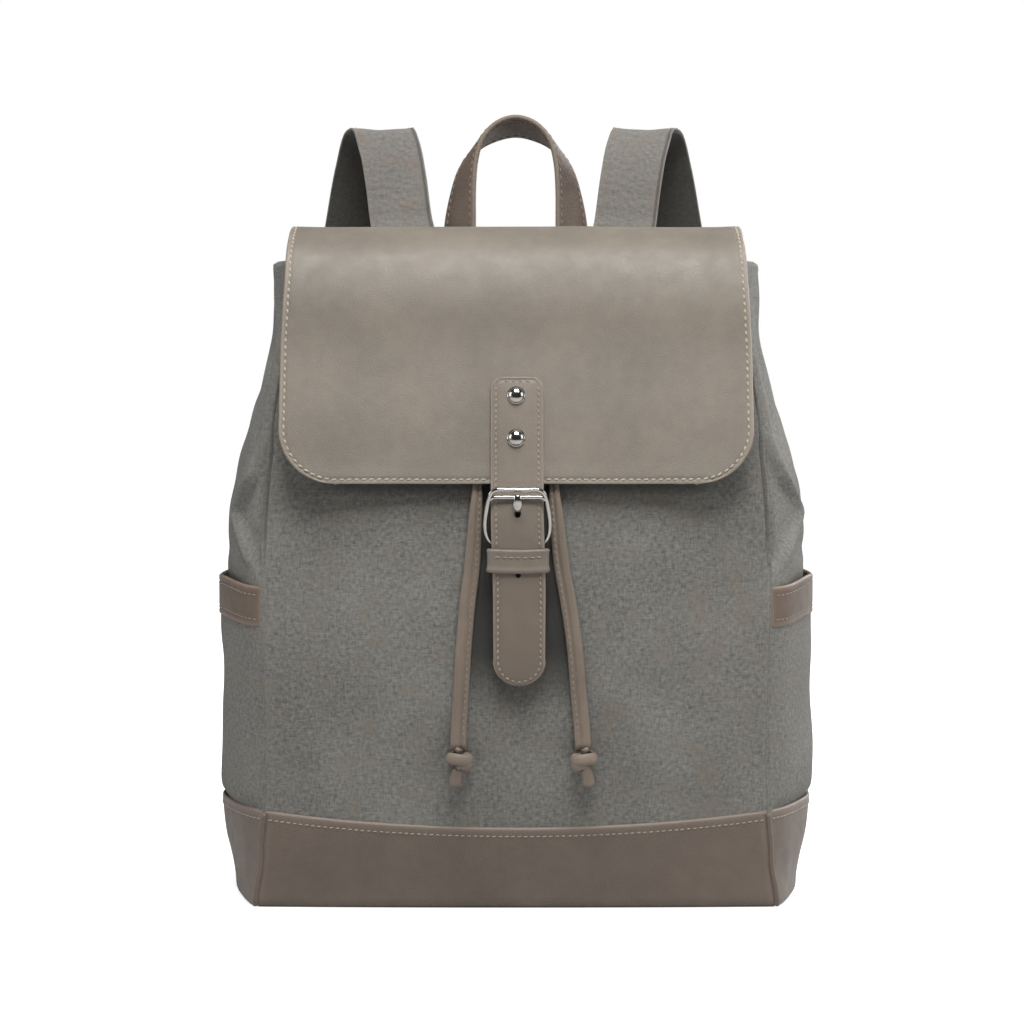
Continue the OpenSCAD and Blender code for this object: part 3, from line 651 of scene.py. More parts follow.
def studio():
    camera_data = bpy.data.cameras.new("camera")
    camera = bpy.data.objects.new("camera", camera_data)
    bpy.context.scene.collection.objects.link(camera)
    camera_data.sensor_width = CAMERA_SENSOR_MM
    camera_data.lens = CAMERA_LENS_MM
    camera_data.clip_end = 50.0
    camera.location = CAMERA_PLACE
    camera.rotation_euler = (math.radians(90 - CAMERA_LOOKS_DOWN), 0, 0)
    bpy.context.scene.camera = camera
    bpy.context.scene.view_settings.view_transform = "Standard"

    # A white room is seen behind the bag, and its light on the bag is held back for contrast.
    world = bpy.data.worlds.new("studio")
    world.use_nodes = True
    tree = world.node_tree
    back = tree.nodes["Background"]
    back.inputs["Color"].default_value = (1, 1, 1, 1)
    seen = tree.nodes.new("ShaderNodeLightPath").outputs["Is Camera Ray"]
    strength = tree.nodes.new("ShaderNodeMapRange")
    strength.inputs["To Min"].default_value = ROOM_LIGHT
    tree.links.new(seen, strength.inputs["Value"])
    tree.links.new(strength.outputs["Result"], back.inputs["Strength"])
    bpy.context.scene.world = world

    for name, place, size, power, aim in (
        ("top_softbox", (0.12, -0.85, 1.9), 1.0, 55.0, (0, 0, 0.2)),
        ("back_softbox", (1.3, 1.2, 1.0), 1.2, 30.0, (0, 0, 0.2)),
        ("right_softbox", (1.7, -0.6, 0.9), 1.1, 9.5, (0, 0, 0.2)),
        ("left_softbox", (-1.7, -0.5, 0.9), 1.1, 11.0, (0, 0, 0.2)),
    ):
        data = bpy.data.lights.new(name, "AREA")
        data.shape, data.size, data.energy = "SQUARE", size, power
        lamp = bpy.data.objects.new(name, data)
        lamp.location = place
        lamp.rotation_euler = (Vector(aim) - Vector(place)).to_track_quat("-Z", "Y").to_euler()
        bpy.context.scene.collection.objects.link(lamp)

    mesh = bpy.data.meshes.new("floor")
    mesh.from_pydata([(-6, -6, 0), (6, -6, 0), (6, 6, 0), (-6, 6, 0)], [], [(0, 1, 2, 3)])
    floor = bpy.data.objects.new("floor", mesh)
    bpy.context.scene.collection.objects.link(floor)
    paper = Shader("pale_floor", 0.9, Specular_IOR_Level=0.1, Emission_Color=(1, 1, 1, 1))
    seen = paper.node("ShaderNodeLightPath").outputs["Is Camera Ray"]
    away = paper.node("ShaderNodeVectorMath", operation="LENGTH")
    paper.link(paper.place, away.inputs[0])
    glow = paper.remap(away.outputs["Value"], 0.25, 0.9, 0.80, 1.0)
    paper.link(paper.math("MULTIPLY", seen, glow), paper.bsdf.inputs["Emission Strength"])
    paper.colour(paper.blend(paper.noise(paper.place, 300.0), (0.60, 0.60, 0.595, 1), (0.63, 0.63, 0.63, 1)))
    mesh.materials.append(paper.material)


# ---------------------------------------------------------------- drawcord

# Heights and depths that both cords follow from under their eyelets, and how far from the middle
# each lies there, as in the CAD.
CORD_LINE = [(-57.2, 331.4), (-61, 312), (-66.5, 292), (-75.9, 260), (-82.8, 232), (-85.4, 222), (-86.7, 208),
             (-87, 196), (-87.8, 182), (-88.7, 166), (-89.1, 142), (-89, 116), (-88.6, 100), (-88.9, 88)]
CORD_OUT = {1: (18, 18, 18, 18.6, 19.6, 20.2, 21.6, 22.6, 24.4, 27.3, 30.7, 33, 34.6, 35.4),
            -1: (18, 18, 18, 18.8, 20, 20.6, 21.6, 22.3, 23.5, 25.5, 27.6, 29.2, 30.2, 30.6)}
KNOT_AT = {1: np.array([35.6, -89.4, 82.0]), -1: np.array([-29.6, -89.4, 82.0])}


def cord_shape(side):
    """A leather lace folded lengthwise: a narrow stitched lip, a groove, and a round main fold."""
    half, t = CORD_W / 2, CORD_T / 2
    a = np.linspace(-np.pi / 2, np.pi / 2, 7)
    main = np.column_stack([half - t + t * np.cos(a), t * np.sin(a)])
    top = [[half - 3.2, t], [-0.2, t * 0.9], [-0.9, t * 0.42], [-1.5, t * 0.55], [-2.4, t * 0.78]]
    lip = np.column_stack([-half + 1.0 - 1.0 * np.cos(a), -t * 0.72 * np.sin(a)])
    bottom = [[-2.4, -t * 0.78], [-1.0, -t * 0.8], [half - 3.2, -t]]
    shape = np.concatenate([main, top, lip, bottom])
    return shape * [side, 1] if side > 0 else (shape * [-1, 1])[::-1]


def knot(side, name, node):
    """A stopper knot: the lace wraps once and a half round itself and its cut end hangs out."""
    turns = np.linspace(0, 1, 56)
    angle = 2 * np.pi * (1.6 * turns + 0.1)
    r = 3.6 + 0.9 * np.sin(np.pi * turns)
    wrap = np.column_stack([r * 1.25 * np.cos(angle) * side, r * 0.78 * np.sin(angle) - 0.2,
                            3.0 - 5.6 * turns + 1.3 * np.cos(angle)])
    centre = KNOT_AT[side]
    enter = np.array([[0.0, 0.3, 6.5], [0.8 * side, 0.5, 5.0]])
    leave = np.array([[0.6 * side, -1.6, -3.6], [1.6 * side, -1.2, -6.5], [2.2 * side, -0.4, -9.5],
                      [2.4 * side, 0.0, -12.6], [2.3 * side, 0.2, -13.6]])
    path = smooth_path(np.concatenate([enter, wrap[2:-3:3], leave]) + centre, 0.9)
    n = len(path)
    t = tangents(path)
    place = np.arange(n)
    width = 0.5 * np.interp(place, [0, 3, n * 0.55, n - 12, n - 3, n - 1], [5.4, 6.2, 6.0, 5.4, 6.8, 5.0])
    radial = unit(path - centre + np.array([0, 0, 0.001]))
    w = unit(np.cross(t, radial))
    tail = ramp(n - 16, n - 8, place)[:, None]
    w = unit(mix(w * np.sign(w[:, 2:] + 1e-6), np.array([1.0, 0.15, 0.0]), tail))
    w = unit(w - (w * t).sum(axis=1, keepdims=True) * t)
    m = np.cross(t, w)
    circle = circle_shape(1.0, 16)
    flattened = np.sign(circle) * np.abs(circle) ** 0.8
    thick = np.interp(place, [0, n - 2, n - 1], [1.9, 1.8, 1.2])
    return loft(name, carry(path, w, m, flattened, width, thick), CORD_LEATHER, body_for("cord", side),
                [node])


def drawcords():
    for side in (-1, 1):
        word = side_name(side)
        route = np.array([(side * x, y, z) for x, (y, z) in zip(CORD_OUT[side], CORD_LINE)], float)
        path = smooth_path(route, 3.0)
        # The lace folds tighter where it leaves the flap's edge.
        slim = np.interp(path[:, 2], [188, 212, 226, 250, 290, 325], [1.0, 0.82, 0.62, 0.62, 0.85, 1.0])
        sections = sweep(path, cord_shape(side), widths=slim)
        cord = loft(f"drawcord_{word}_lace", sections, CORD_LEATHER, body_for("cord", side),
                    [f"drawcord_{word}"])
        w, n = frames(path)
        facing = n * -np.sign(n[:, 1:2])
        seam = Seam()
        lip = path + w * (-2.4 * side * slim)[:, None] + facing * (CORD_T * 0.43)
        seam.add(lip[4:-2], facing[4:-2], pitch=3.4, length=2.1, r=0.36)
        stitches = seam.make(f"drawcord_{word}_stitches", body_for("cord", side), DARK_THREAD)
        knot_piece = knot(side, f"drawcord_{word}_knot", f"knot_{word}")


# ---------------------------------------------------------------- body surfaces

# Each table gives a share of the rim height and the value there.
corner_x = profile([(0, 140), (0.15, 134.5), (0.5, 135), (0.62, 134), (0.75, 130), (0.87, 124), (1, 118)])
corner_y = profile([(0, -70), (0.15, -70), (0.32, -72), (0.5, -72), (0.62, -70), (0.75, -64), (0.87, -56),
                    (1, -48)])
belly = profile([(0, 3), (0.15, 11), (0.32, 15), (0.5, 15), (0.62, 13), (0.75, 9), (0.87, 5), (1, 2)])
back_x = profile([(0, 138), (0.15, 134), (0.6, 134), (1, 121)])
gusset_reach = profile([(0.14, 153), (0.42, 153), (0.47, 155.5), (0.51, 159.3), (0.55, 159.8), (0.588, 159),
                        (0.62, 158), (0.651, 156), (0.683, 153), (0.715, 150), (0.748, 146.5), (0.78, 143),
                        (0.813, 139.6), (0.844, 137), (0.876, 135), (0.94, 134), (1, 134)])
base_reach = profile([(0, 155), (10, 155.3), (21, 157), (32, 159.6), (51, 162)])
BASE_ROUND_R = 5.0
BASE_PROUD = 1.0
BASE_SEAM_DROP = 3.4


def front_surface(u, z):
    """Front panel, u from -1 at the left seam to 1 at the right one."""
    share = z / RIM
    flat = 1 - np.abs(u) ** 2.2
    x = u * corner_x(share)
    y = corner_y(share) - belly(share) * flat
    rest = ramp(0, 0.12, 1 - np.abs(u)) * ramp(BASE_TOP - 2, BASE_TOP + 22, z) * ramp(RIM, RIM - 25, z)
    y = y + rest * (0.9 * waves(x, z, 3, 95.0) + 0.25 * waves(x, z, 4, 31.0))
    return points_from(x, y, z)


def side_base(side, v, z, reach):
    share = z / RIM
    flat = mix(corner_x(share), back_x(share), v)
    x = mix(flat, reach, np.sin(np.pi * np.clip(v, 0, 1)) ** 0.75)
    y = mix(corner_y(share), BACK_Y, v)
    return x * side, y


# Heights of the slanting crease above each pocket, and how far from the front seam it runs there.
CREASE_Z = [178, 183, 197, 211, 221, 229, 242, 262]
CREASE_V = {-1: [0.0, 0.02, 0.13, 0.24, 0.17, 0.10, 0.06, 0.0],
            1: [0.0, 0.03, 0.16, 0.30, 0.22, 0.13, 0.07, 0.0]}


def side_folds(side, v, z):
    """How far the empty canvas side sinks in, by place: a tuck by the front seam and soft creases."""
    tuck = bell(v, 0.035, 0.026) * ramp(178, 200, z) * ramp(305, 270, z)
    edge = np.interp(z, CREASE_Z, CREASE_V[side])
    wobble = 0.008 * waves(z, z * 0, 91 + side, 26.0)
    hollow = ramp(0.035, -0.035, v - edge - wobble) * ramp(179, 186, z) * ramp(262, 240, z)
    hollow = hollow * (ramp(0.32, 0.10, v) if side > 0 else 1.0)
    ridge = bell(v - edge - wobble, 0.03, 0.030) * ramp(179, 188, z) * ramp(262, 236, z)
    upper = bell(v, 0.16 + 0.0012 * (z - 250), 0.05) * ramp(236, 258, z) * ramp(330, 290, z)
    lower = bell(z, 188, 6) * ramp(0.12, 0.4, v) * (0.6 + 0.4 * waves(v * 100, z, 11, 60.0))
    fine = bell(v - edge - wobble, 0.010, 0.012) * ramp(180, 190, z) * ramp(266, 250, z)
    sink = 5.4 * tuck + 4.6 * hollow - 1.9 * ridge - 0.9 * fine + 2.0 * upper + 1.8 * lower
    sink = sink + 0.8 * ramp(285, 340, z) * np.cos(v * 2 * np.pi * 4.5) * np.sin(np.pi * v)
    sink = sink + 0.55 * waves(v * 140, z * 1.3, 5 + side, 48.0) * np.sin(np.pi * v) ** 0.6
    return sink


def side_wear(side, v, z):
    """The crease's crest and the seam tuck's lip are rubbed pale."""
    edge = np.interp(z, CREASE_Z, CREASE_V[side]) + 0.008 * waves(z, z * 0, 91 + side, 26.0)
    crest = bell(v - edge, 0.012, 0.014) * ramp(181, 192, z) * ramp(266, 252, z)
    return 0.9 * crest * (0.7 + 0.3 * waves(v * 140, z, 15, 20.0))


def side_surface(side):
    def at(v, z):
        x, y = side_base(side, v, z, gusset_reach(z / RIM))
        sink = side_folds(side, v, z) * ramp(0, 0.02, v) * ramp(1, 0.95, v)
        return points_from(x - sink * side, y, z)
    return at


def back_surface(u, z):
    share = z / RIM
    x = u * back_x(share)
    y = BACK_Y + 2.4 * (1 - np.abs(u) ** 3) * np.sin(np.pi * np.clip(share, 0, 1))
    y = y + 0.5 * waves(x, z, 21, 80.0) * (1 - u * u)
    return points_from(x, y, z)


def pocket_surface(side):
    """Pocket cloth and band: v from the front seam to the back seam."""
    def at(v, z):
        x, y = side_base(side, v, z, POCKET_REACH - 1.2)
        lift = 1.2 * ramp(0, 0.08, v) * ramp(1, 0.92, v) * ramp(BASE_TOP + 1, BASE_TOP + 9, z)
        # The lower edge goes in under the base leather.
        lift = lift - 1.3 * ramp(BASE_TOP + 9, BASE_TOP + 1, z) * ramp(0, 0.03, v) * ramp(1, 0.97, v)
        sag = 1.1 * waves(v * 150, z, 31 + side, 70.0) * np.sin(np.pi * v)
        sag = sag * ramp(BAND_LOW + 4, BAND_LOW - 30, z)
        sag = sag + 1.0 * ramp(BASE_TOP + 14, BASE_TOP, z) * np.sin(np.pi * v)
        return points_from(x + (lift - sag) * side, y, z)
    return at


def band_surface(side):
    """The leather band over the pocket's upper edge, with its stitched grooves."""
    mid, half = (BAND_LOW + BAND_TOP) / 2, (BAND_TOP - BAND_LOW) / 2
    cloth = pocket_surface(side)

    def at(v, z):
        p = cloth(v, z)
        puff = 0.9 - 0.35 * bell(np.abs(z - mid), half - 3.0, 0.9)
        edge = ramp(-0.02, 0.03, v) * ramp(1.0, 0.95, v)
        p[..., 0] += side * puff * edge
        p[..., 2] += 0.5 * waves(v * 140, v * 0, 61 + side, 80.0) + 1.2 - 2.6 * ramp(0.30, 0.0, v)
        return p
    return at


def base_round(z):
    """How far the base skin draws in near the floor, as a quarter round."""
    return corner_loss(BASE_ROUND_R, np.clip(z, 0, BASE_ROUND_R))


def base_surface(part):
    """Leather base skin. It stands a little proud of the canvas it is sewn over."""
    def at(a, z):
        dip = {"front": -6.7 + 7.8 * a * a, "back": 1.1 * a * a}.get(part, 2.4 - 1.3 * a * a)
        z = z + dip * ramp(8, BASE_TOP, z)
        share = z / RIM
        tuck = base_round(z) - BASE_PROUD
        if part == "front":
            x = a * corner_x(share)
            y = corner_y(share) - belly(share) * (1 - np.abs(a) ** 2.2) + tuck
            x = x - np.sign(a) * 0.3 * base_round(z) * np.abs(a) ** 4
            y = y + 0.35 * waves(x, z, 41, 70.0) * ramp(0, 12, z) * (1 - a ** 8)
        elif part == "back":
            x, y = -a * back_x(share), BACK_Y + 0.6 * (1 - a * a) - tuck
        else:
            side = 1 if part == "right" else -1
            v = (a + 1) / 2 if side > 0 else (1 - a) / 2
            x, y = side_base(side, v, z, base_reach(z))
            bulge = np.sin(np.pi * v) ** 0.5
            pinch = 1.1 * bell(z, 22, 9) * (bell(v, 0.04, 0.05) + bell(v, 0.96, 0.05))
            x = x - side * (tuck * bulge + pinch + 0.4 * waves(y, z, 43, 60.0) * bulge)
            y = y + base_round(z) * (1 - 2 * v) * (1 - bulge)
        return points_from(x, y, z)
    return at


def grid_of(fn, a, z):
    aa, zz = np.meshgrid(a, z)
    return fn(aa, zz)


# ---------------------------------------------------------------- canvas body

def painted_tuck_shade(v, z):
    """Painted shade: the cloth is darkened in the tuck beside the front seam."""
    return 0.75 * bell(v, 0.02, 0.018) * ramp(182, 205, z) * ramp(318, 280, z)


# The back pad's seams: two beside the spine, two near the edges, and one above and below.
PAD_SPINE, PAD_EDGE, PAD_LOW, PAD_TOP = 0.13, 0.86, 66.0, 312.0
PAD_SWELL = 4.0
CLOTH_STEPS = 20


def painted_front_shade(p):
    """Painted shade on the front canvas: a shadow band below the flap's edge that fades on up under the flap,
    and shade between the cords and the strap.
    """
    x, z = p[..., 0], p[..., 2]
    zs = np.array([h for _, h in CORD_LINE[::-1]], float)
    right = np.interp(z, zs, CORD_OUT[1][::-1])
    left = -np.interp(z, zs, CORD_OUT[-1][::-1])
    between = ramp(left - 7, left + 3, x) * ramp(right + 7, right - 3, x)
    middle = between * ramp(100, 142, z) * ramp(250, 228, z)
    flap_shade = ramp(FLAP_LOW - 7.5, FLAP_LOW - 1.5, z)
    flap_shade = flap_shade * (0.26 + 0.42 * ramp(FLAP_LOW + 30, FLAP_LOW + 2, z))
    flap_shade = flap_shade * ramp(FLAP_HALF - 4, FLAP_HALF - 34, np.abs(x))
    return np.clip(np.maximum(middle, flap_shade), 0, 1)


def canvas_body():
    z = spread(BASE_TOP - 13, RIM - 2, 112)
    u = spread(-1.0, 1.0, 110)
    front = grid_of(front_surface, u, z)
    # The front canvas carries painted shade under the flap and between the cords and the strap.
    sheet("front_canvas", front, CANVAS_T, CANVAS, "bag", ["front_panel"], wear_width=1.3,
          roll=0.25, painted_shade_and_tone=painted_front_shade(front))
    for side in (-1, 1):
        v = spread(0.006, 0.992, 120, 0.34, 0.0, 62)
        order = v if side > 0 else v[::-1]
        vv, zz = np.meshgrid(order, z)
        # The side canvas carries painted shade in the tuck beside the front seam.
        sheet(f"side_canvas_{side_name(side)}", side_surface(side)(vv, zz), CANVAS_T, CANVAS, "bag",
              [f"gusset_{side_name(side)}"], painted_shade_and_tone=painted_tuck_shade(vv, zz), wear=side_wear(side, vv, zz))
    padded_back()
    corner_seams()


def corner_seams():
    """A turned-in welt closes each corner behind the panels' folded edges."""
    seam = Seam()
    for side in (-1, 1):
        zs = np.arange(BASE_TOP - 2, RIM - 3, 3.0)
        path = front_surface(side, zs) + np.array([side * -0.25, 0.75, 0])
        path[:, 0] += 0.2 * waves(zs, zs * 0, 51 + side, 40.0)
        loft(f"corner_welt_{side_name(side)}", sweep(path, circle_shape(0.95, 10)), CANVAS, "bag")
        back = back_surface(side, zs)
        loft(f"back_welt_{side_name(side)}", sweep(back, circle_shape(1.3, 8)), CANVAS, "bag")
        inner = side * (1 - 4.2 / corner_x(zs / RIM))
        p, n = surface_path(front_surface, inner, zs)
        seam.add(p, n, pitch=4.4, length=2.7, r=0.22, lift=-0.02)
    seam.make("corner_seam_stitches", "bag", DARK_THREAD)


def simulated_swell(flat, held):
    """How far air pressure pushes out a cloth grid that is held down at some points."""
    rows, cols = flat.shape[:2]
    mesh = bpy.data.meshes.new("back_cloth")
    index = np.arange(rows * cols).reshape(rows, cols)
    quads = np.stack([index[:-1, :-1], index[:-1, 1:], index[1:, 1:], index[1:, :-1]], axis=-1)
    mesh.from_pydata((flat.reshape(-1, 3) * MM).tolist(), [], quads.reshape(-1, 4).tolist())
    obj = bpy.data.objects.new("back_cloth", mesh)
    bpy.context.scene.collection.objects.link(obj)
    obj.vertex_groups.new(name="held").add(np.flatnonzero(held.ravel()).tolist(), 1.0, "REPLACE")
    cloth = obj.modifiers.new("swell", "CLOTH").settings
    cloth.use_pressure, cloth.uniform_pressure_force = True, 4.0
    cloth.vertex_group_mass = "held"
    cloth.quality, cloth.mass = 6, 0.15
    cloth.tension_stiffness = cloth.compression_stiffness = 12.0
    cloth.shear_stiffness, cloth.bending_stiffness = 6.0, 0.4
    cloth.effector_weights.gravity = 0.0
    for step in range(1, CLOTH_STEPS + 1):
        bpy.context.scene.frame_set(step)
    moved = obj.evaluated_get(bpy.context.evaluated_depsgraph_get()).to_mesh()
    points = np.empty(rows * cols * 3, np.float32)
    moved.vertices.foreach_get("co", points)
    out = (points.reshape(rows, cols, 3) / MM - flat)[..., 1]
    bpy.context.scene.frame_set(1)
    bpy.data.objects.remove(obj, do_unlink=True)
    # The cloth's own shape, raised to the height of a foam-backed cushion.
    return np.clip(out * (PAD_SWELL / max(float(out.max()), 0.4)), 0, 5.0)


def padded_back():
    """The back panel: canvas drawn down by seams over foam, swollen between them by cloth simulation."""
    u, z = spread(0.99, -0.99, 56), spread(BASE_TOP - 9, RIM - 2, 64)
    flat = grid_of(back_surface, u, z)
    uu, zz = np.meshgrid(u, z)
    near_seam = np.minimum(np.abs(np.abs(uu) - PAD_SPINE), np.abs(np.abs(uu) - PAD_EDGE))
    near_seam = np.where((zz > PAD_LOW) & (zz < PAD_TOP), near_seam * 134, 99)
    level = np.minimum(np.abs(zz - PAD_LOW), np.abs(zz - PAD_TOP))
    near_seam = np.minimum(near_seam, np.where(np.abs(uu) < PAD_EDGE, level, 99))
    inside = (np.abs(uu) < PAD_EDGE) & (zz > PAD_LOW) & (zz < PAD_TOP)
    swell = simulated_swell(flat, (near_seam < 2.8) | ~inside)
    padded = flat + points_from(0, swell - 0.8 * bell(near_seam, 0, 2.0) * inside, 0)
    wear = 0.5 * bell(near_seam, 3.5, 2.0) * inside
    back = sheet("back_canvas", padded, CANVAS_T, CANVAS, "bag", ["back_panel"], wear=wear)
    seam = Seam()
    rows_z = np.linspace(PAD_LOW, PAD_TOP, 90)
    across = np.linspace(-PAD_EDGE, PAD_EDGE, 90)
    lines = [back_surface(a, rows_z) for a in (-PAD_EDGE, -PAD_SPINE, PAD_SPINE, PAD_EDGE)]
    lines += [back_surface(across, height) for height in (PAD_LOW, PAD_TOP)]
    for line in lines:
        seam.add(line + [0, -0.2, 0], [0, 1, 0], pitch=4.4, length=2.9, r=0.38)
    seam.make("back_pad_stitches", "bag", DARK_THREAD)
    back_foam()


def back_foam():
    """The foam slab behind the back canvas, with soft edges."""
    low, high = node_box("back_foam")
    x = spread(high[0] - 0.6, low[0] + 0.6, 30, 4.0, 4.0, 5)
    h = spread(low[2] + 0.6, high[2] - 0.6, 30, 4.0, 4.0, 5)
    xx, hh = np.meshgrid(x, h)
    face = high[1] - 0.2 - 0.9 * ramp(4, 0, edge_distance(xx, hh)) - 0.15 * (1 + waves(xx, hh, 95, 30.0))
    pad = sheet("back_foam_pad", points_from(xx, face, hh), high[1] - low[1] - 1.0, FOAM, "bag",
                ["back_foam"], roll=0.2)


def base_skins():
    seam = Seam()
    z = np.concatenate([7.0 * (1 - np.cos(np.linspace(0.12, np.pi / 2, 7))), np.linspace(9, BASE_TOP - 4, 16),
                        np.linspace(BASE_TOP - 3, BASE_TOP + 0.6, 5)])
    for part in ("front", "right", "back", "left"):
        fn = base_surface(part)
        skin = grid_of(fn, spread(-0.993, 0.993, 60), z)
        sheet(f"base_skin_{part}", skin, LEATHER_T, BASE_LEATHER, "bag", [f"base_{part}"],
              wear_width=1.6)
        p, n = surface_path(fn, np.linspace(-0.985, 0.985, 80), BASE_TOP - BASE_SEAM_DROP)
        seam.add(p, n, pitch=3.3, length=2.1, r=0.40, slant=0.12)
    for side in (-1, 1):
        for where, end in (("front", side), ("back", -side)):
            zs = np.linspace(1.6, BASE_TOP, 24)
            path = base_surface(where)(end, zs)
            path[:, 0] -= side * bell(zs, 22, 8)
            loft(f"base_corner_{where}_{side_name(side)}", sweep(path, circle_shape(1.5, 10)), BASE_LEATHER,
                 "bag")
    seam.make("base_stitches", "bag", STRAP_THREAD)
    bottom()


def bottom():
    """The flat leather bottom inside the base skins, with a rounded rim."""
    a = np.linspace(-0.99, 0.99, 40)
    outline = [base_surface(part)(a, 1.0)[:, :2] for part in ("front", "right", "back", "left")]
    outline = np.concatenate(outline)
    centre = outline.mean(axis=0)
    d = outline - centre
    rings = []
    for inset, height in ((2.6, 1.2), (3.4, 0.15), (6.0, 0.0), (20.0, 0.0), (60.0, 0.0)):
        inner = centre + d * (1 - inset / np.linalg.norm(d, axis=1, keepdims=True))
        rings.append(points_from(*inner.T, height))
    top = [r + [0, 0, 2.0 - 0.5 * r[:, 2:].max()] for r in rings[::-1]]
    sections = np.array(rings[::-1] + top[::-1])
    loft("base_bottom_skin", sections, BASE_LEATHER, "bag", ["base_bottom"])


def side_pockets():
    seam = Seam()
    for side in (-1, 1):
        word = side_name(side)
        v = spread(0.002, 0.988, 64, 0.04, 0.0, 8)
        order = v if side > 0 else v[::-1]
        cloth = grid_of(pocket_surface(side), order, spread(BASE_TOP - 1, BAND_LOW + 5, 40))
        sheet(f"pocket_canvas_{word}", cloth, 1.5, CANVAS, "bag", [f"pocket_{word}"])
        z = spread(BAND_LOW, BAND_TOP + 0.4, 8, 3.0, 3.0, 5)
        band_fn = band_surface(side)
        sheet(f"pocket_band_{word}", grid_of(band_fn, order, z), 1.9, TRIM_LEATHER, "bag",
              [f"pocket_band_{word}"], wear_width=1.2)
        for height in (BAND_TOP - 3.6, BAND_LOW + 3.2):
            p, n = surface_path(band_fn, np.linspace(0.012, 0.97, 60)[::side], height)
            seam.add(p, n * np.sign(n[:, :1] * side), pitch=3.8, length=2.5, r=0.40)
    seam.make("pocket_band_stitches", "bag", DARK_THREAD)


# ---------------------------------------------------------------- mouth, lining and cord tunnel

HEM_DROP = 3
# The hem's section: how far in from the panels' faces, and how far above the hem's line.
HEM_SECTION = [(1.4, -24), (0.9, -10), (0.3, -5), (-0.2, -1), (0.1, 1.2), (1.6, 2.3), (4.6, 2.7), (7.6, 2.2),
               (9.3, 0.6), (9.7, -4), (9.6, -12), (9.4, -24), (8.2, -24), (8.2, -4), (6.5, 0.2), (2.8, 0.2),
               (2.0, -6), (2.0, -24)]


def cad_material(name, material):
    """Gives a CAD piece that stays visible its material."""
    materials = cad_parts[name].data.materials
    materials.clear()
    materials.append(material)


def rim_ring(inset, z, n=120):
    """A closed ring round the mouth, inset from the panels' outer faces. z may vary along it."""
    loop = []
    quarter = n // 4
    for k in range(n):
        part, t = divmod(k, quarter)
        t = t / quarter
        if part == 0:
            p = front_surface(np.array(2 * t - 1.0), np.array(z))
        elif part == 1:
            p = side_surface(1)(np.array(t), np.array(z))
        elif part == 2:
            p = back_surface(np.array(1 - 2 * t), np.array(z))
        else:
            p = side_surface(-1)(np.array(1 - t), np.array(z))
        loop.append(p)
    loop = np.array(loop, float)
    for _ in range(3):
        loop[:, :2] = (np.roll(loop, 1, axis=0) + 2 * loop + np.roll(loop, -1, axis=0))[:, :2] / 4
    t = tangents(loop, closed=True)
    out = np.column_stack([t[:, 1], -t[:, 0], np.zeros(n)])
    return loop - out * inset, out


def mouth():
    """The hem folded over the rim, a little gathered by the cord inside it."""
    n = 160
    ring, out = rim_ring(0.0, RIM - HEM_DROP, n)
    s = np.arange(n) * 2 * np.pi / n
    gather = 0.7 * np.sin(s * 23) + 0.4 * np.sin(s * 37 + 1.0)
    sections = []
    for inset, up in HEM_SECTION:
        ripple = gather * ramp(-26, -6, up)
        p = ring - out * (inset + 0.45 * ripple[:, None])
        p[:, 2] = RIM - HEM_DROP + up + 0.35 * ripple
        sections.append(p)
    s = np.array(sections).transpose(1, 0, 2)
    # The body widens below the rim, so the hem's skirt follows it.
    low_ring, _ = rim_ring(0.0, RIM - 27, n)
    drop = np.clip((RIM - HEM_DROP - s[..., 2]) / 24.0, 0, 1)
    s[..., :2] += (low_ring - ring)[:, None, :2] * drop[..., None]
    loft("mouth_hem_canvas", s, CANVAS, "bag", ["mouth_hem"], closed=True)
    seam = Seam()
    row, out = (np.concatenate([r, r[:1]]) for r in rim_ring(-0.05, RIM - 20, n))
    seam.add(row, out, pitch=4.5, length=2.8, r=0.3)
    seam.make("hem_stitches", "bag", DARK_THREAD)
    cord_in_hem()
    cad_material("eyelets", CHROME)


def cord_in_hem():
    """The lace inside the hem, out through both eyelets and bent down to the free ends."""
    ring, _ = rim_ring(5.0, EYELET_Z)
    ring[:, 2] = EYELET_Z
    keep = np.roll(ring, -15, axis=0)
    keep = keep[(np.abs(keep[:, 0]) >= EYELET_X + 3) | (keep[:, 1] >= 0)]
    angle = np.arctan2(keep[:, 0], -keep[:, 1])
    keep = keep[np.argsort(np.where(angle < 0, angle + 2 * np.pi, angle))]
    face = front_surface(np.array(EYELET_X / corner_x(EYELET_Z / RIM)), np.array(EYELET_Z))[1]
    bend = np.array([[EYELET_X + 1, face + 5.0, EYELET_Z], [EYELET_X, face + 1.5, EYELET_Z],
                     [EYELET_X, face - 2.2, EYELET_Z - 0.3], [EYELET_X, face - 3.4, EYELET_Z - 2.4],
                     [EYELET_X, -55.6, 330.5]])
    path = smooth_path(np.concatenate([bend[::-1], keep[1:-1], bend * [-1, 1, 1]]), 3.0)
    t = tangents(path)
    w = np.array([0, 0, 1.0]) - t * t[:, 2:]
    steep = np.abs(t[:, 2]) > 0.8
    w[steep] = [1, 0, 0]
    w = unit(w)
    rings = carry(path, w, np.cross(t, w), circle_shape(1.0) * [3.1, 1.7])
    loft("drawcord_in_hem", rings, CORD_LEATHER, "bag", ["drawcord_loop"])


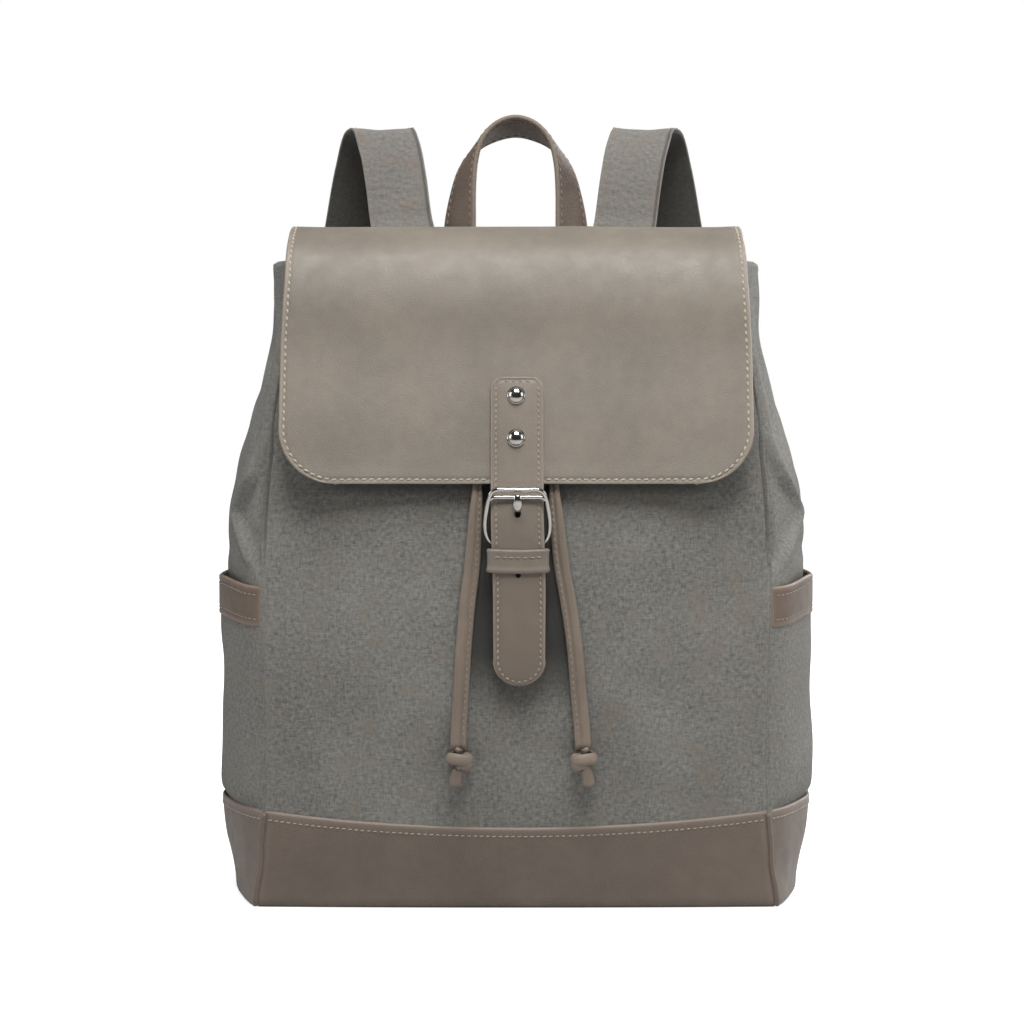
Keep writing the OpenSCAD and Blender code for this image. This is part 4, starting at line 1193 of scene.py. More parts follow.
def lining_bag():
    """The loose lining, open at the top and closed at the bottom."""
    n = 96
    heights = np.concatenate([[9.0, 12.0], np.linspace(20, RIM - 26, 26)])
    rings = []
    for z in heights:
        ring, out = rim_ring(4.2, max(z, BASE_TOP - 3), n)
        ring[:, 1] = np.minimum(ring[:, 1], 60.5)
        s = np.arange(n) * 2 * np.pi / n
        slack = 0.9 * np.sin(s * 9 + z * 0.03) + 0.6 * np.sin(s * 17 - z * 0.05)
        ring = ring - out * (0.8 + slack[:, None] * 0.6) * ramp(8, 60, z)
        ring[:, 2] = z
        draw = 5.0 * ramp(16, 9, z)
        ring[:, :2] -= unit(ring[:, :2]) * draw
        rings.append(ring)
    floor = [np.column_stack([rings[0][:, :2] * k, np.full(n, 8.6 + 0.4 * k)]) for k in (0.05, 0.4, 0.8)]
    outer = [r.copy() for r in floor + rings]
    for r in outer:
        r[:, 2] -= 0.8 * ramp(12, 8, r[:, 2])
        r[:, :2] += unit(r[:, :2] - [0, -5.0]) * 0.8 * ramp(8, 12, r[:, 2].max())
    loft("lining_bag", np.array(outer + (floor + rings)[::-1]), LINING, "bag", ["lining"])
    inner_sleeve()


def inner_sleeve():
    """The sleeve on the back lining, with a bound top edge."""
    low, high = node_box("inner_sleeve")
    x = np.linspace(low[0], high[0], 40)
    xx, zz = np.meshgrid(x, np.linspace(low[2], high[2], 40))
    sag = 1.2 * np.sin(np.pi * (xx - low[0]) / (high[0] - low[0])) * ramp(low[2], high[2], zz)
    y = low[1] + 1.4 - sag + 0.25 * waves(xx, zz, 71, 60.0)
    tuck = ramp(low[0] + 6, low[0], xx) + ramp(high[0] - 6, high[0], xx) + ramp(low[2] + 6, low[2], zz)
    y = y + 5.4 * np.clip(tuck, 0, 1)
    sheet("inner_sleeve_cloth", points_from(xx, y, zz), 1.0, LINING, "bag", ["inner_sleeve"])
    top = points_from(x, y[-1] + 0.5, high[2])
    tape = [(2.6, -1.1), (3.0, 0), (2.6, 1.1), (-2.6, 1.1), (-3, 0), (-2.6, -1.1)]
    loft("inner_sleeve_binding", sweep(top, tape, across=(0, 0, 1)), TRIM_LEATHER, "bag")


# ---------------------------------------------------------------- flap

# Side view of the flap's outer face, [y, z], from the hinge seam to the lower edge.
FLAP_LINE = [(72, 353), (40, 361.5), (0, 365.4), (-35, 362.6), (-55, 350.5), (-65, 330), (-71, 300),
             (-81.5, 260), (-89, FLAP_LOW + 0.4)]


def side_curve(line, step, rounds):
    """Distances, points and outward normals of a smoothed side-view curve through [y, z] rows."""
    p = smooth_path([(0, y, z) for y, z in line], step)
    for _ in range(rounds):
        p[1:-1] = (p[:-2] + 2 * p[1:-1] + p[2:]) / 4
    return travel(p), p, unit(np.cross([1.0, 0, 0], -np.gradient(p, axis=0)))


FLAP_ALONG, FLAP_POINTS, FLAP_NORMALS = side_curve(FLAP_LINE, 1.0, 60)
FLAP_LENGTH = FLAP_ALONG[-1]
FLAP_CORNER_S = FLAP_LENGTH - FLAP_CORNER_R


def flap_half_width(s):
    """Half width at a distance s from the hinge seam: rounded lower corners, and a slight flare."""
    left = np.clip(FLAP_LENGTH - s, 0, FLAP_CORNER_R)
    z = np.interp(s, FLAP_ALONG, FLAP_POINTS[:, 2])
    drawn_in = np.interp(z, [225, 300, 335, 352, 366], [-0.7, -0.2, 1.4, 1.9, 2.6])
    return FLAP_HALF - corner_loss(FLAP_CORNER_R, left) - drawn_in


def flap_surface(depth=0.0, margin=0.0):
    """a runs across from -1 to 1 and s along from the hinge seam."""
    def at(a, s):
        s = np.clip(s, 0, FLAP_LENGTH - margin)
        half = flap_half_width(np.minimum(s + margin, FLAP_LENGTH)) - margin
        x = a * half
        p = on_curve(s, FLAP_ALONG, FLAP_POINTS)
        n = on_curve(s, FLAP_ALONG, FLAP_NORMALS)
        edge = np.minimum(half - np.abs(x), FLAP_LENGTH - margin - s)
        puff = -0.32 * bell(edge, 2.1, 0.8) + 0.22 * ramp(12, 3.0, edge)
        soft = 0.6 * waves(x, s, 81, 150.0) * ramp(0, 40, edge + 12) * ramp(0, 30, s)
        ripple = 0.8 * np.sin(x * 2 * np.pi / 83 + 0.7) * ramp(26, 0, FLAP_LENGTH - s)
        clear = ramp(14, 40, np.abs(x))
        wave = (soft + ripple) * mix(0.25, 1.0, clear)
        # The waves lift off the cords under the flap and hardly press down on them.
        wave = (wave + np.sqrt(wave * wave + 0.36)) / 2 - 0.3
        off = (puff if depth == 0 else 0) + wave - depth
        p = p + n * np.asarray(off)[..., None]
        p[..., 0] = x
        return p
    return at


def flap():
    """The leather flap and the lining under it."""
    a = spread(-1, 1, 60, 0.09, 0.09, 12)
    arc = np.linspace(0, np.pi / 2, 34)[1:]
    s = np.concatenate([np.linspace(0, FLAP_CORNER_S, 90), FLAP_CORNER_S + FLAP_CORNER_R * np.sin(arc)])
    fn = flap_surface()
    # The grid runs up, so the lower edge comes first.
    outer = grid_of(fn, a, s[::-1])
    sheet("flap_top_leather", outer, FLAP_T, FLAP_LEATHER, "flap", ["flap_leather"],
          wear_width=1.3)
    inner_fn = flap_surface(FLAP_T + 0.1, 2.6)
    sheet("flap_under_lining", grid_of(inner_fn, spread(-1, 1, 50), s[::-1]), 0.5, LINING, "flap",
          ["flap_lining"])
    flap_edge_stitches()
    hinge_stitches()


def flap_edge_stitches():
    """One row down each side, round the corners and along the lower edge."""
    seam = Seam()
    inset = 2.1
    path_s = np.linspace(4, FLAP_CORNER_S, 160)
    corner = np.linspace(0, np.pi / 2, 40)[1:-1]
    r = FLAP_CORNER_R - inset
    left_s = np.concatenate([path_s, FLAP_CORNER_S + r * np.sin(corner)])
    straight = FLAP_HALF + 0.65 - FLAP_CORNER_R
    left_x = np.concatenate([flap_half_width(path_s) - inset, straight + r * np.cos(corner)])
    row_x = np.linspace(straight, -straight, 120)
    xs = np.concatenate([left_x, row_x, -left_x[::-1]])
    ss = np.concatenate([left_s, np.full_like(row_x, FLAP_LENGTH - inset), left_s[::-1]])
    p, n = flap_at(xs, ss)
    # The stitches stop where the closure strap crosses the lower edge.
    cuts = np.flatnonzero((np.abs(xs) < STRAP_HALF + 0.5) & (ss > FLAP_LENGTH - 10))
    for part in (slice(0, cuts[0]), slice(cuts[-1] + 1, None)):
        seam.add(p[part], n[part], pitch=3.9, length=2.6, r=0.58, slant=0.14)
    seam.make("flap_stitches", "flap")


def flap_at(x, s):
    """Points and normals of the flap's outer face at distances x across and s along."""
    fn = flap_surface()
    a = np.asarray(x) / flap_half_width(s)
    e = 0.4
    down = fn(a, s + e) - fn(a, s - e)
    return fn(a, s), unit(np.cross([1.0, 0, 0], -down))


def hinge_stitches():
    """Two rows that hold the flap on the yoke."""
    seam = Seam()
    for s in (5.0, 9.0):
        x = np.linspace(-FLAP_HALF + 6, FLAP_HALF - 6, 120)
        p, n = flap_at(x, np.full_like(x, s))
        seam.add(p, n, pitch=4.9, length=3.2, r=0.38)
    seam.make("flap_hinge_stitches", "flap")


# ---------------------------------------------------------------- closure strap and buckle

CLOSURE_LINE = [(-75.7, 283), (-81.7, 260), (-89.2, FLAP_LOW + 1), (-93.1, 215), (-93.3, 196), (-94, 160),
                (-94, 140), (-92, STRAP_TIP)]
CLOSURE_T = 3.0
HOLE_Z, SLOT_Z = 180.2, 212.4
RIVET_Z = (273.1, 250.9)
CLOSURE_ALONG, CLOSURE_POINTS, CLOSURE_NORMALS = side_curve(CLOSURE_LINE, 0.8, 20)
CLOSURE_LENGTH = CLOSURE_ALONG[-1]
TIP_R = STRAP_HALF - 0.6
TOP_CORNER_R = 5.5


def closure_shift(s):
    """The strap hangs a little to the right of the middle."""
    return 0.5 + 1.1 * ramp(218, 168, np.interp(s, CLOSURE_ALONG, CLOSURE_POINTS[:, 2]))


def closure_half(s):
    left = np.clip(CLOSURE_LENGTH - s, 0, TIP_R)
    slim = 0.3 * ramp(CLOSURE_LENGTH - 70, CLOSURE_LENGTH - 10, s) * (left > TIP_R - 0.01)
    top = corner_loss(TOP_CORNER_R, np.clip(s, 0, TOP_CORNER_R))
    return np.maximum(TIP_R - corner_loss(TIP_R, left) - slim - top, 0.2)


def closure_surface(a, s):
    half = closure_half(s)
    x = a * half
    p = on_curve(s, CLOSURE_ALONG, CLOSURE_POINTS)
    n = on_curve(s, CLOSURE_ALONG, CLOSURE_NORMALS)
    edge = np.minimum(np.minimum(half - np.abs(x), CLOSURE_LENGTH - s), s + 1.0)
    off = CLOSURE_T - 0.9 * ramp(1.6, 0.0, edge)
    off = off - 0.30 * bell(edge, 2.7, 0.8) + 0.25 * ramp(3.5, 9.0, edge)
    p = p + n * np.asarray(off)[..., None]
    p[..., 0] = x + closure_shift(s)
    return p


def closure_at(x, s):
    """Points and normals of the closure strap's face at distances x across and s along."""
    p = closure_surface(np.asarray(x) / closure_half(s), s)
    return p, on_curve(s, CLOSURE_ALONG, CLOSURE_NORMALS)


def along_at_height(z):
    """Distance along the closure strap at height z."""
    return float(np.interp(-z, -CLOSURE_POINTS[:, 2], CLOSURE_ALONG))


def cut(obj, tools):
    """Cuts tool shapes out of a piece for good, then drops the tools."""
    for tool in tools:
        m = obj.modifiers.new("cut", "BOOLEAN")
        m.operation, m.object, m.solver = "DIFFERENCE", tool, "EXACT"
        with bpy.context.temp_override(object=obj, active_object=obj):
            bpy.ops.object.modifier_apply(modifier=m.name)
        bpy.data.objects.remove(tool, do_unlink=True)


def peg(x, y0, y1, z, r, stretch=1.0):
    """A plain rod along Y for cutting a hole, stretched in height for a slot."""
    bm = bmesh.new()
    bmesh.ops.create_cone(bm, cap_ends=True, segments=20, radius1=r * MM, radius2=r * MM,
                          depth=(y1 - y0) * MM)
    bmesh.ops.rotate(bm, verts=bm.verts, cent=(0, 0, 0), matrix=Matrix.Rotation(math.pi / 2, 3, "X"))
    bmesh.ops.scale(bm, verts=bm.verts, vec=(1, 1, stretch))
    bmesh.ops.translate(bm, verts=bm.verts, vec=(x * MM, (y0 + y1) / 2 * MM, z * MM))
    mesh = bpy.data.meshes.new("peg")
    bm.to_mesh(mesh)
    bm.free()
    obj = bpy.data.objects.new("peg", mesh)
    bpy.context.scene.collection.objects.link(obj)
    return obj


def closure():
    """The strap that closes the flap, and what is fixed on it."""
    a = np.sin(np.linspace(-np.pi / 2, np.pi / 2, 41))
    arc = np.linspace(0, np.pi / 2, 22)[1:]
    start = TOP_CORNER_R * (1 - np.cos(np.linspace(0, np.pi / 2, 12)))
    s = np.concatenate([start, np.linspace(6.5, CLOSURE_LENGTH - TIP_R, 128),
                        CLOSURE_LENGTH - TIP_R * (1 - np.sin(arc))])
    outer = grid_of(closure_surface, a, s[::-1])
    back = outer.copy()
    n = on_curve(s[::-1], CLOSURE_ALONG, CLOSURE_NORMALS)
    base = on_curve(s[::-1], CLOSURE_ALONG, CLOSURE_POINTS)
    back[..., 1:] = (base + n * 0.1)[:, None, 1:]
    # The free end is darker from the buckle down.
    darker_tone = ramp(196, 184, outer[..., 2]) * (0.9 + 0.1 * waves(outer[..., 0], outer[..., 2], 7, 20.0))
    strap = sheet("closure_strap_leather", outer, CLOSURE_T, STRAP_LEATHER, "flap",
                  ["closure_strap"], wear_width=0.7, roll=0.10, inner=back, painted_shade_and_tone=darker_tone)
    cut(strap, [peg(1.0, -110, -80, HOLE_Z, 1.45), peg(0.8, -110, -80, SLOT_Z, 1.7, 1.3)])
    closure_stitches()
    keeper()
    rivets()
    chape()


def closure_stitches():
    """Both sides except under the keeper, round the tip, and across the sewn end."""
    seam = Seam()
    inset = 2.4
    side_s = np.linspace(5, CLOSURE_LENGTH - TIP_R, 120)
    arc = np.linspace(0, np.pi, 40)
    r = TIP_R - inset
    for side in (-1, 1):
        p, n = closure_at(np.full_like(side_s, side * r), side_s)
        shown = (p[:, 2] <= KEEPER_LOW - 0.5) | (p[:, 2] >= KEEPER_TOP + 0.5)
        edges = np.flatnonzero(np.diff(shown.astype(int)))
        for part in (slice(0, edges[0] + 1), slice(edges[1] + 1, None)):
            seam.add(p[part], n[part], pitch=3.05, length=1.9, r=0.42, slant=0.2 * side)
    xs, ss = r * np.cos(arc), CLOSURE_LENGTH - TIP_R + r * np.sin(arc)
    p, n = closure_at(xs, ss)
    seam.add(p, n, pitch=3.05, length=1.9, r=0.42)
    xs = np.linspace(-7.5, 7.5, 12)
    p, n = closure_at(xs, np.full_like(xs, 2.4))
    seam.add(p, n, pitch=3.05, length=1.9, r=0.40)
    seam.make("closure_stitches", "flap", STRAP_THREAD)


def keeper():
    """The leather loop that holds the strap's free part."""
    mid = (KEEPER_LOW + KEEPER_TOP) / 2
    half_h = (KEEPER_TOP - KEEPER_LOW) / 2
    s = along_at_height(mid)
    y = np.interp(s, CLOSURE_ALONG, CLOSURE_POINTS[:, 1])
    half_x = STRAP_HALF + 1.9
    front, rear = y - CLOSURE_T - 1.1, y + 1.0
    x, depth = rounded_loop(half_x, (rear - front) / 2, 2.3, 8, 1.2).T
    loop = points_from(x, depth + (front + rear) / 2, mid)
    t = 1.3
    z = np.linspace(-half_h, half_h, 13)
    ridge = 0.10 + 0.30 * bell(np.abs(z), half_h - 0.9, 0.9) + 0.25 * bell(z, 1.2 - half_h, 1.5)
    shape = np.concatenate([np.column_stack([z, ridge]), [[half_h + 0.35, -t * 0.5]],
                            np.column_stack([z[::-1], np.full(len(z), -t)]), [[-half_h - 0.35, -t * 0.5]]])
    w, n = frames(loop, across=(0, 0, 1), closed=True)
    centre = loop.mean(axis=0)
    n = n * np.sign(((loop - centre) * n).sum(axis=1, keepdims=True))
    rings = carry(loop, w, n, shape)
    bow = 1 - (rings[..., 0] / half_x) ** 2
    rings[..., 1] -= np.where(rings[..., 1] < y - CLOSURE_T, 0.5 * bow, 0)
    rings[..., 2] -= 0.6 * bow
    rings[..., 0] += 1.0
    loft("strap_keeper_leather", rings, STRAP_LEATHER, "flap", ["strap_keeper"], closed=True)
    seam = Seam()
    x = np.linspace(-half_x + 3.5, half_x - 3.5, 20)
    bow = 1 - (x / half_x) ** 2
    p = points_from(x + 1.0, front - 0.15 - 0.5 * bow, mid + 2.2 - 0.6 * bow)
    seam.add(p, [0, -1, 0], pitch=3.6, length=2.3, r=0.36)
    seam.make("keeper_stitches", "flap", STRAP_THREAD)


def turned(name, outline, centre, axis, material, body, nodes=(), sides=40):
    """A turned piece: outline rows are [radius, height] along axis from centre."""
    axis = unit(np.array(axis, float))
    w = unit(np.cross(axis, [1.0, 0.02, 0.1]))
    n = np.cross(axis, w)
    circle = circle_shape(1.0, sides) @ np.array([w, n])
    rings = [np.array(centre) + circle * max(r, 0.02) + axis * h for r, h in outline]
    return loft(name, np.array(rings), material, body, nodes)


def join(name, parts, nodes=()):
    """Joins pieces of one body and material into one."""
    with bpy.context.temp_override(active_object=parts[0], selected_editable_objects=parts,
                                   selected_objects=parts, object=parts[0]):
        bpy.ops.object.join()
    parts[0].name = name
    if nodes:
        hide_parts(*nodes)
    return parts[0]


def rivets():
    low, high = node_box("strap_rivets")
    radius = (high[0] - low[0]) / 2 - 0.4
    dome = [(0.02, 3.4), (1.2, 3.33), (2.3, 3.05), (3.3, 2.5), (4.0, 1.8), (4.35, 1.05), (4.4, 0.75),
            (4.7, 0.75), (radius - 0.15, 0.62), (radius, 0.3), (radius - 0.1, -0.1), (1.5, -0.2),
            (1.4, -5.8), (0.02, -5.8)]
    parts = []
    for z in RIVET_Z:
        p, n = closure_at(np.array([-0.5]), np.array([along_at_height(z)]))
        parts.append(turned(f"rivet_{int(z)}", dome, p[0] - n[0] * 0.1, n[0], CHROME, "flap"))
    join("strap_rivet_domes", parts, ["strap_rivets"])
    for name in ("rivet_washers", "snap_socket", "snap_stud", "snap_washer"):
        cad_material(name, CHROME)
    cad_material("base_board", BOARD)


def chape():
    """The folded leather that holds the heel bar, behind the strap."""
    low, high = node_box("buckle_chape")
    bar_y, bar_z = (low[1] + high[1]) / 2, low[2] + (high[1] - low[1]) / 2
    r = (high[1] - low[1]) / 2
    parts = []
    for side in (-1, 1):
        x0, x1 = (2.6, 10.8) if side > 0 else (-10.8, -2.6)
        a = np.linspace(np.pi, -np.pi / 2 - 0.6, 22)
        curl = [(bar_y + (r - 0.6) * math.cos(t), bar_z + (r - 0.6) * math.sin(t)) for t in a]
        line = [(bar_y - r + 0.6, high[2] - 0.5), (bar_y - r + 0.6, (high[2] + bar_z) / 2)] + curl
        path = smooth_path([(0, y, z) for y, z in line], 0.8)
        path[:, 0] = (x0 + x1) / 2
        rings = sweep(path, strap_shape(x1 - x0, 1.1, 0, 6))
        parts.append(loft(f"chape_{side_name(side)}", rings, TRIM_LEATHER, "flap"))
    join("buckle_chape_leather", parts, ["buckle_chape"])


# The buckle's middle, its heel bar in [y, z], how far its top leans out, and the frame's wire.
BUCKLE_X = 0.7
BUCKLE_BAR = -90.2, 196.0
BUCKLE_TILT = 15
FRAME_WIRE_R = 1.2


def buckle():
    """Bent wire frame with a double top bar and bowed sides, and a flat-tipped prong."""
    bar_y, bar_z = BUCKLE_BAR
    tilt = math.radians(BUCKLE_TILT)

    def plane(x, up):
        return x + BUCKLE_X, bar_y - up * math.sin(tilt), bar_z + up * math.cos(tilt)

    half = [(0, 29.9), (6, 29.9), (11.4, 29.7), (13.6, 28.3), (14.9, 25.2), (15.9, 20.5), (16.7, 14.5),
            (16.9, 9.8), (16.2, 5.2), (14.4, 1.9), (11.6, 0.3), (8.5, 0), (4, 0)]
    route = [plane(x, u) for x, u in half] + [plane(0, 0)] + [plane(-x, u) for x, u in half[::-1]]
    path = smooth_path(route, 1.0)[:-1]
    outer = wire("frame_ring", path, FRAME_WIRE_R, "buckle", closed=True)
    bar_route = [plane(-15.1, 23.8), plane(-13.8, 25.2), plane(-8, 25.8), plane(0, 25.8), plane(8, 25.8),
                 plane(13.8, 25.2), plane(15.1, 23.8)]
    bar = wire("frame_bar", smooth_path(bar_route, 1.2), FRAME_WIRE_R * 0.95, "buckle")
    join("buckle_frame_wire", [outer, bar], ["buckle_frame"])

    line = [(bar_y + 1.8 * math.cos(t), bar_z + 1.8 * math.sin(t)) for t in np.linspace(-2.4, 2.2, 16)]
    line += [(-90.4, 206.0), (-91.3, 210.2), (-94.6, 212.8), (-98.2, 214.4), (-99.9, 217.0), (-100.3, 220.2),
             (-100.0, 222.5)]
    path = smooth_path([(BUCKLE_X, y, z) for y, z in line], 0.8)
    n = len(path)
    k = np.arange(n)
    wide = np.interp(k, [0, n - 18, n - 12, n - 8, n - 3, n - 1], [1.0, 1.0, 1.7, 2.4, 2.2, 1.0])
    thick = np.interp(k, [0, n - 10, n - 2, n - 1], [0.85, 0.85, 0.8, 0.4])
    w, m = frames(path)
    rings = carry(path, w, m, circle_shape(1.0), wide, thick)
    loft("buckle_prong_wire", rings, CHROME, "prong", ["buckle_prong"])


# ---------------------------------------------------------------- handle, straps and back

# Front and rear edge of the right half of the handle, from its sewn end to the middle of the top.
HANDLE_FRONT = [(22.5, 75.7, 324), (22.6, 75.9, 342), (23.5, 79.5, 354), (23.3, 82.5, 372), (23.4, 85.5, 392),
                (22.5, 88.5, 409), (19, 91, 422.5), (11, 93, 431.8), (0, 94, 435.3)]
HANDLE_REAR = [(42.5, 75.7, 324), (42.6, 77.5, 342), (42, 90, 354), (41.5, 94.5, 372), (38.5, 99.5, 388),
               (33.5, 103, 403.5), (26, 106, 413.5), (15, 110, 420.8), (0, 113, 424.6)]
HANDLE_W, HANDLE_T = 20.5, 3.0


def handle():
    front, rear = np.array(HANDLE_FRONT, float), np.array(HANDLE_REAR, float)
    front = np.concatenate([front, front[-2::-1] * [-1, 1, 1]])
    rear = np.concatenate([rear, rear[-2::-1] * [-1, 1, 1]])
    place = np.linspace(0, 1, len(front))
    t = np.linspace(0, 1, 150)
    curves = [[profile(np.column_stack([place, e[:, k]]))(t) for k in range(3)] for e in (front, rear)]
    f, r = (np.column_stack(c) for c in curves)
    centre = (f + r) / 2
    across = (r - f) / 2
    normal = unit(np.cross(tangents(centre), unit(across)))
    # The section is drawn for the usual width, and its shares of the half width follow the edges.
    shape = strap_shape(HANDLE_W, HANDLE_T, 0.35, 16) / [HANDLE_W / 2, 1]
    edge_wear = np.clip((np.abs(shape[:, 0]) - 0.74) / 0.2, 0, 1)
    strap = loft("handle_leather", carry(centre, across, normal, shape), HANDLE_LEATHER, None,
                 ["handle_strap", "handle_anchors"], wear=np.tile(edge_wear, len(centre)))
    seam = Seam()
    inside = slice(4, -4)
    for where in (-0.72, 0.72):
        for face in (-1, 1):
            path = centre + across * where + normal * face * (HANDLE_T / 2 + 0.02)
            seam.add(path[inside], (normal * face)[inside], pitch=4.4, length=2.8, r=0.34)
    stitches = seam.make("handle_stitches", None, DARK_THREAD)
    for part in (strap, stitches):
        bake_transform(part)


STRAP_ROUTE = [(62, 76.2, 322), (62.3, 76.4, 346), (64, 79.5, 358), (68.2, 86.5, 373), (72, 95, 400),
               (75.5, 103, 418), (80, 113, 428.5), (86, 125, 425), (92, 134, 405), (98, 139.5, 374),
               (106, 138, 320), (112, 131, 265), (116, 123.5, 210), (118, 116, 172)]
# The webbing starts inside the strap's end cap, runs straight along the slide, and ends in its tab.
WEBBING_SLIDE = [(119 - 0.0173 * h, 98.15 + 0.3056 * h, 113.7 + h)
                 for h in (50, 38, 26, 13, 0, -13, -26, -38, -49)]
WEBBING_ROUTE = [(117.9, 117.2, 176), *WEBBING_SLIDE, (120, 79.3, 51), (120, 75, 40), (120, 73.4, 30)]
# The arches lean toward the middle, the right one more, and sit a little low.
STRAP_LEAN = [0, 0.15, 0.6, 1, 1, 1, 1, 1, 1, 1, 0.7, 0.4, 0.1, 0]
STRAP_DROP = [0, 0, 0, 0.4, 0.9, 1.7, 1.8, 1.7, 0.9, 0.4, 0, 0, 0, 0]
STRAP_IN = {-1: 1.7, 1: 4.4}
STRAP_W = 36.0
WEBBING_W, WEBBING_T = 25.0, 1.7


def shoulder_straps():
    for side in (-1, 1):
        path, widths = strap_pad(side)
        webbing(side)
        strap_end(side, path, widths)
        adjuster(side)
        tab(side)


def strap_pad(side):
    """The padded part: canvas outside, cloth inside, sewn together along both edges."""
    word, body = side_name(side), body_for("strap", side)
    route = np.array(STRAP_ROUTE, float)
    route[:, 0] -= STRAP_IN[side] * np.array(STRAP_LEAN)
    route[:, 2] -= STRAP_DROP
    path = smooth_path(route * [side, 1, 1], 4.0)
    n = len(path)
    k = np.arange(n)
    widths = mix(1.0, 0.80, ramp(n * 0.62, n - 1, k))
    # Small ripples where the strap leaves the bag.
    path[:, 1] += 0.5 * np.sin(k * 1.9) * bell(k, 13, 6)
    top = strap_shape(STRAP_W, 1.6, 0.25, 20)
    outer = sweep(path, top + [0, -0.9], widths=widths)
    inner = sweep(path, strap_shape(STRAP_W - 1.0, 1.5, 0.2, 20) + [0, 0.75], widths=widths)
    wear_x = np.clip((np.abs(top[:, 0]) / (STRAP_W / 2) - 0.9) / 0.1, 0, 1)
    canvas = loft(f"strap_{word}_outer_canvas", outer, CANVAS_LIGHT, None,
                  [f"strap_outer_{word}", f"strap_anchor_{word}"], wear=np.tile(wear_x, n))
    cloth = loft(f"strap_{word}_inner_cloth", inner, STRAP_LINING, None, [f"strap_lining_{word}"])
    w, m = frames(path)
    seam = Seam()
    for edge in (-1, 1):
        line = path + w * (edge * (STRAP_W / 2 - 2.6) * widths)[:, None] - m * 1.75
        seam.add(line, -m, pitch=4.6, length=2.9, r=0.26, lift=0.0)
    stitches = seam.make(f"strap_{word}_stitches", None, DARK_THREAD)
    for part in (canvas, cloth, stitches):
        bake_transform(part)
    return path, widths


def webbing(side):
    word, body = side_name(side), body_for("strap", side)
    path = smooth_path(np.array(WEBBING_ROUTE, float) * [side, 1, 1], 3.0)
    rings = sweep(path, strap_shape(WEBBING_W, WEBBING_T, 0.0, 16))
    web = loft(f"webbing_{word}_weave", rings, WEBBING, None, [f"webbing_{word}"])
    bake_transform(web)


def strap_end(side, path, widths):
    """A leather end cap that folds over the pad's end and holds the webbing."""
    word = side_name(side)
    tail = path[-6:] + (path[-1] - path[-2]) * 0.12
    cap = sweep(tail, strap_shape(STRAP_W, 5.0, 0.2, 16), widths=widths[-6:] * 1.03)
    loft(f"strap_{word}_end_cap", cap, TRIM_LEATHER, body_for("strap", side))
    w, m = frames(tail)
    seam = Seam()
    for k in (1, 4):
        across = np.linspace(-1, 1, 12)[:, None] * w[k] * (STRAP_W / 2 - 4) * widths[-6 + k]
        for face in (-1, 1):
            seam.add(tail[k] + across + m[k] * face * 2.62, m[k] * face, pitch=4.0, length=2.6, r=0.3)
    seam.make(f"strap_{word}_cap_stitches", body_for("strap", side), DARK_THREAD)


def adjuster(side):
    """A bent wire slider with a middle bar in front of the webbing."""
    word = side_name(side)
    low, high = node_box(f"adjuster_{word}")
    centre = (low + high) / 2
    up = unit(np.array([-2.0 * side, 35.3, 115.5]))
    x = unit(np.array([1.0, 0, 0]) - up * up[0])
    out = np.cross(x, up)
    r = 1.4
    half_w = (high[0] - low[0]) / 2 - r
    u, v = rounded_loop(half_w, 8.6, 3.0, 7, 1.5).T
    # The end bars pass behind the webbing, and the sides come forward to the middle bar.
    forward = -2.7 * mix(-0.5, 1.0, ramp(3.0, 7.2, np.abs(v)))
    path = centre + u[:, None] * x + v[:, None] * up + forward[:, None] * out
    ring = wire(f"slider_ring_{word}", path, r, body_for("adjuster", side), closed=True)
    u = np.linspace(-half_w, half_w, 14)
    forward = 2.7 * (1 - 0.35 * (np.abs(u) / half_w) ** 6)
    rod = centre + u[:, None] * x + forward[:, None] * out
    bar = wire(f"slider_bar_{word}", rod, r, body_for("adjuster", side))
    join(f"adjuster_{word}_wire", [ring, bar], [f"adjuster_{word}"])


TAB_T, TAB_ROW = 3.2, 11.0


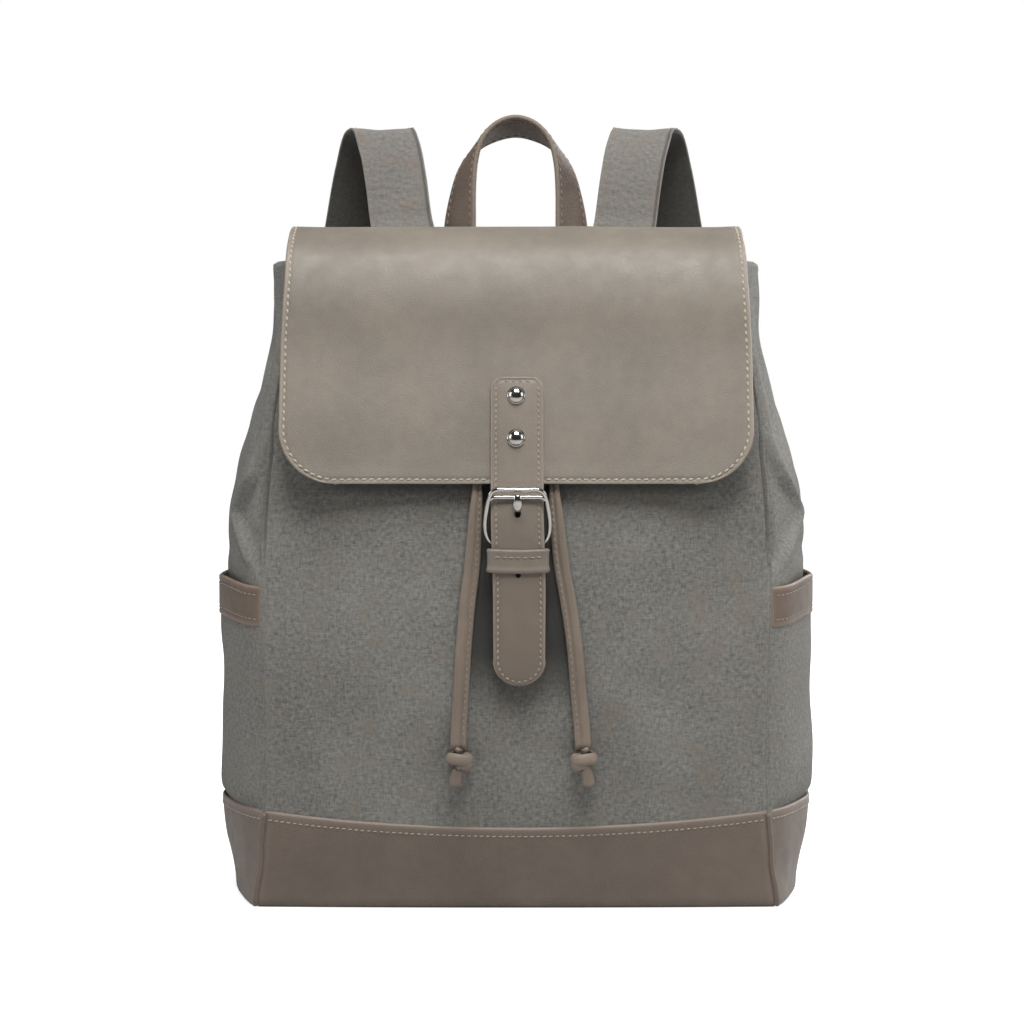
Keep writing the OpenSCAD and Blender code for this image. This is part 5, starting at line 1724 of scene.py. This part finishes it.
def tab(side):
    """The leather tab that is sewn on the back and holds the webbing's end."""
    word = side_name(side)
    low, high = node_box(f"strap_tab_{word}")
    x = (low[0] + high[0]) / 2
    line = [(low[1] + 1.0, low[2]), (low[1] + 1.2, low[2] + 9), (low[1] + 4.4, low[2] + 19),
            (high[1] - 2.0, high[2] - 4), (high[1] - 1.4, high[2])]
    path = smooth_path([(x, y, z) for y, z in line], 1.5)
    shape = strap_shape(high[0] - low[0], TAB_T, 0.3, 16)
    n = len(path)
    widths = mix(0.84, 1.0, ramp(n - 1, n * 0.3, np.arange(n)))
    wear_x = np.clip((np.abs(shape[:, 0]) / 14 - 0.86) / 0.14, 0, 1)
    loft(f"strap_tab_{word}_leather", sweep(path, shape, widths=widths), TRIM_LEATHER, "bag",
         [f"strap_tab_{word}"], wear=np.tile(wear_x, n))
    w, m = frames(path)
    seam = Seam()
    outward = m * np.sign(m[:, 1:2])
    for edge in (-1, 1):
        line = path + w * (edge * TAB_ROW * widths)[:, None] + outward * (TAB_T / 2 + 0.05)
        seam.add(line[1:-2], outward[1:-2], pitch=4.2, length=2.7, r=0.34)
    seam.make(f"strap_tab_{word}_stitches", "bag")


def yoke():
    """The leather piece across the back where flap, handle and straps are sewn on."""
    low, high = node_box("back_yoke")
    x = spread(low[0] - 28, high[0] + 28, 60, 3.5, 3.5, 6)[::-1]
    z = spread(low[2] - 2, high[2] + 2, 14, 3.5, 3.5, 6)
    xx, zz = np.meshgrid(x, z)
    edge = edge_distance(xx, zz)
    y = high[1] + 0.4 - 0.3 * bell(edge, 2.8, 0.9) - 0.5 * ramp(1.2, 0, edge)
    y = y - 0.6 * ramp(high[2] - 6, high[2] + 2, zz)
    sheet("back_yoke_leather", points_from(xx, y, zz), 1.9, FLAP_LEATHER, "bag", ["back_yoke"],
          wear_width=1.2)
    seam = Seam()
    row = np.linspace(x.min() + 3, x.max() - 3, 80)
    col = np.linspace(z.min() + 5, z.max() - 5, 12)
    lines = [(row, z.min() + 3.0), (row, z.max() - 3.0), (x.min() + 3, col), (x.max() - 3, col)]
    for px, pz in lines:
        seam.add(points_from(px, high[1] + 0.15, pz), [0, 1, 0], pitch=4.8, length=3.1, r=0.4)
    # Each sewn end is held by a box of stitches.
    for cx, half, front in ((-62, 14, 78.1), (62, 14, 78.1), (-32.5, 6, 77.4), (32.5, 6, 77.4)):
        for ax, az, bx, bz in ((-1, 0, 1, 0), (-1, 1, 1, 1), (-1, 0, -1, 1), (1, 0, 1, 1), (-1, 0, 1, 1)):
            t = np.linspace(0, 1, 10)
            px = cx + half * mix(ax, bx, t)
            pz = 327 + 14 * mix(az, bz, t)
            seam.add(points_from(px, front, pz), [0, 1, 0], pitch=3.6, length=2.5, r=0.32, lift=0.05)
    seam.make("yoke_stitches", "bag")


# ---------------------------------------------------------------- build

studio()
drawcords()
canvas_body()
base_skins()
side_pockets()
mouth()
lining_bag()
flap()
closure()
buckle()
handle()
shoulder_straps()
yoke()
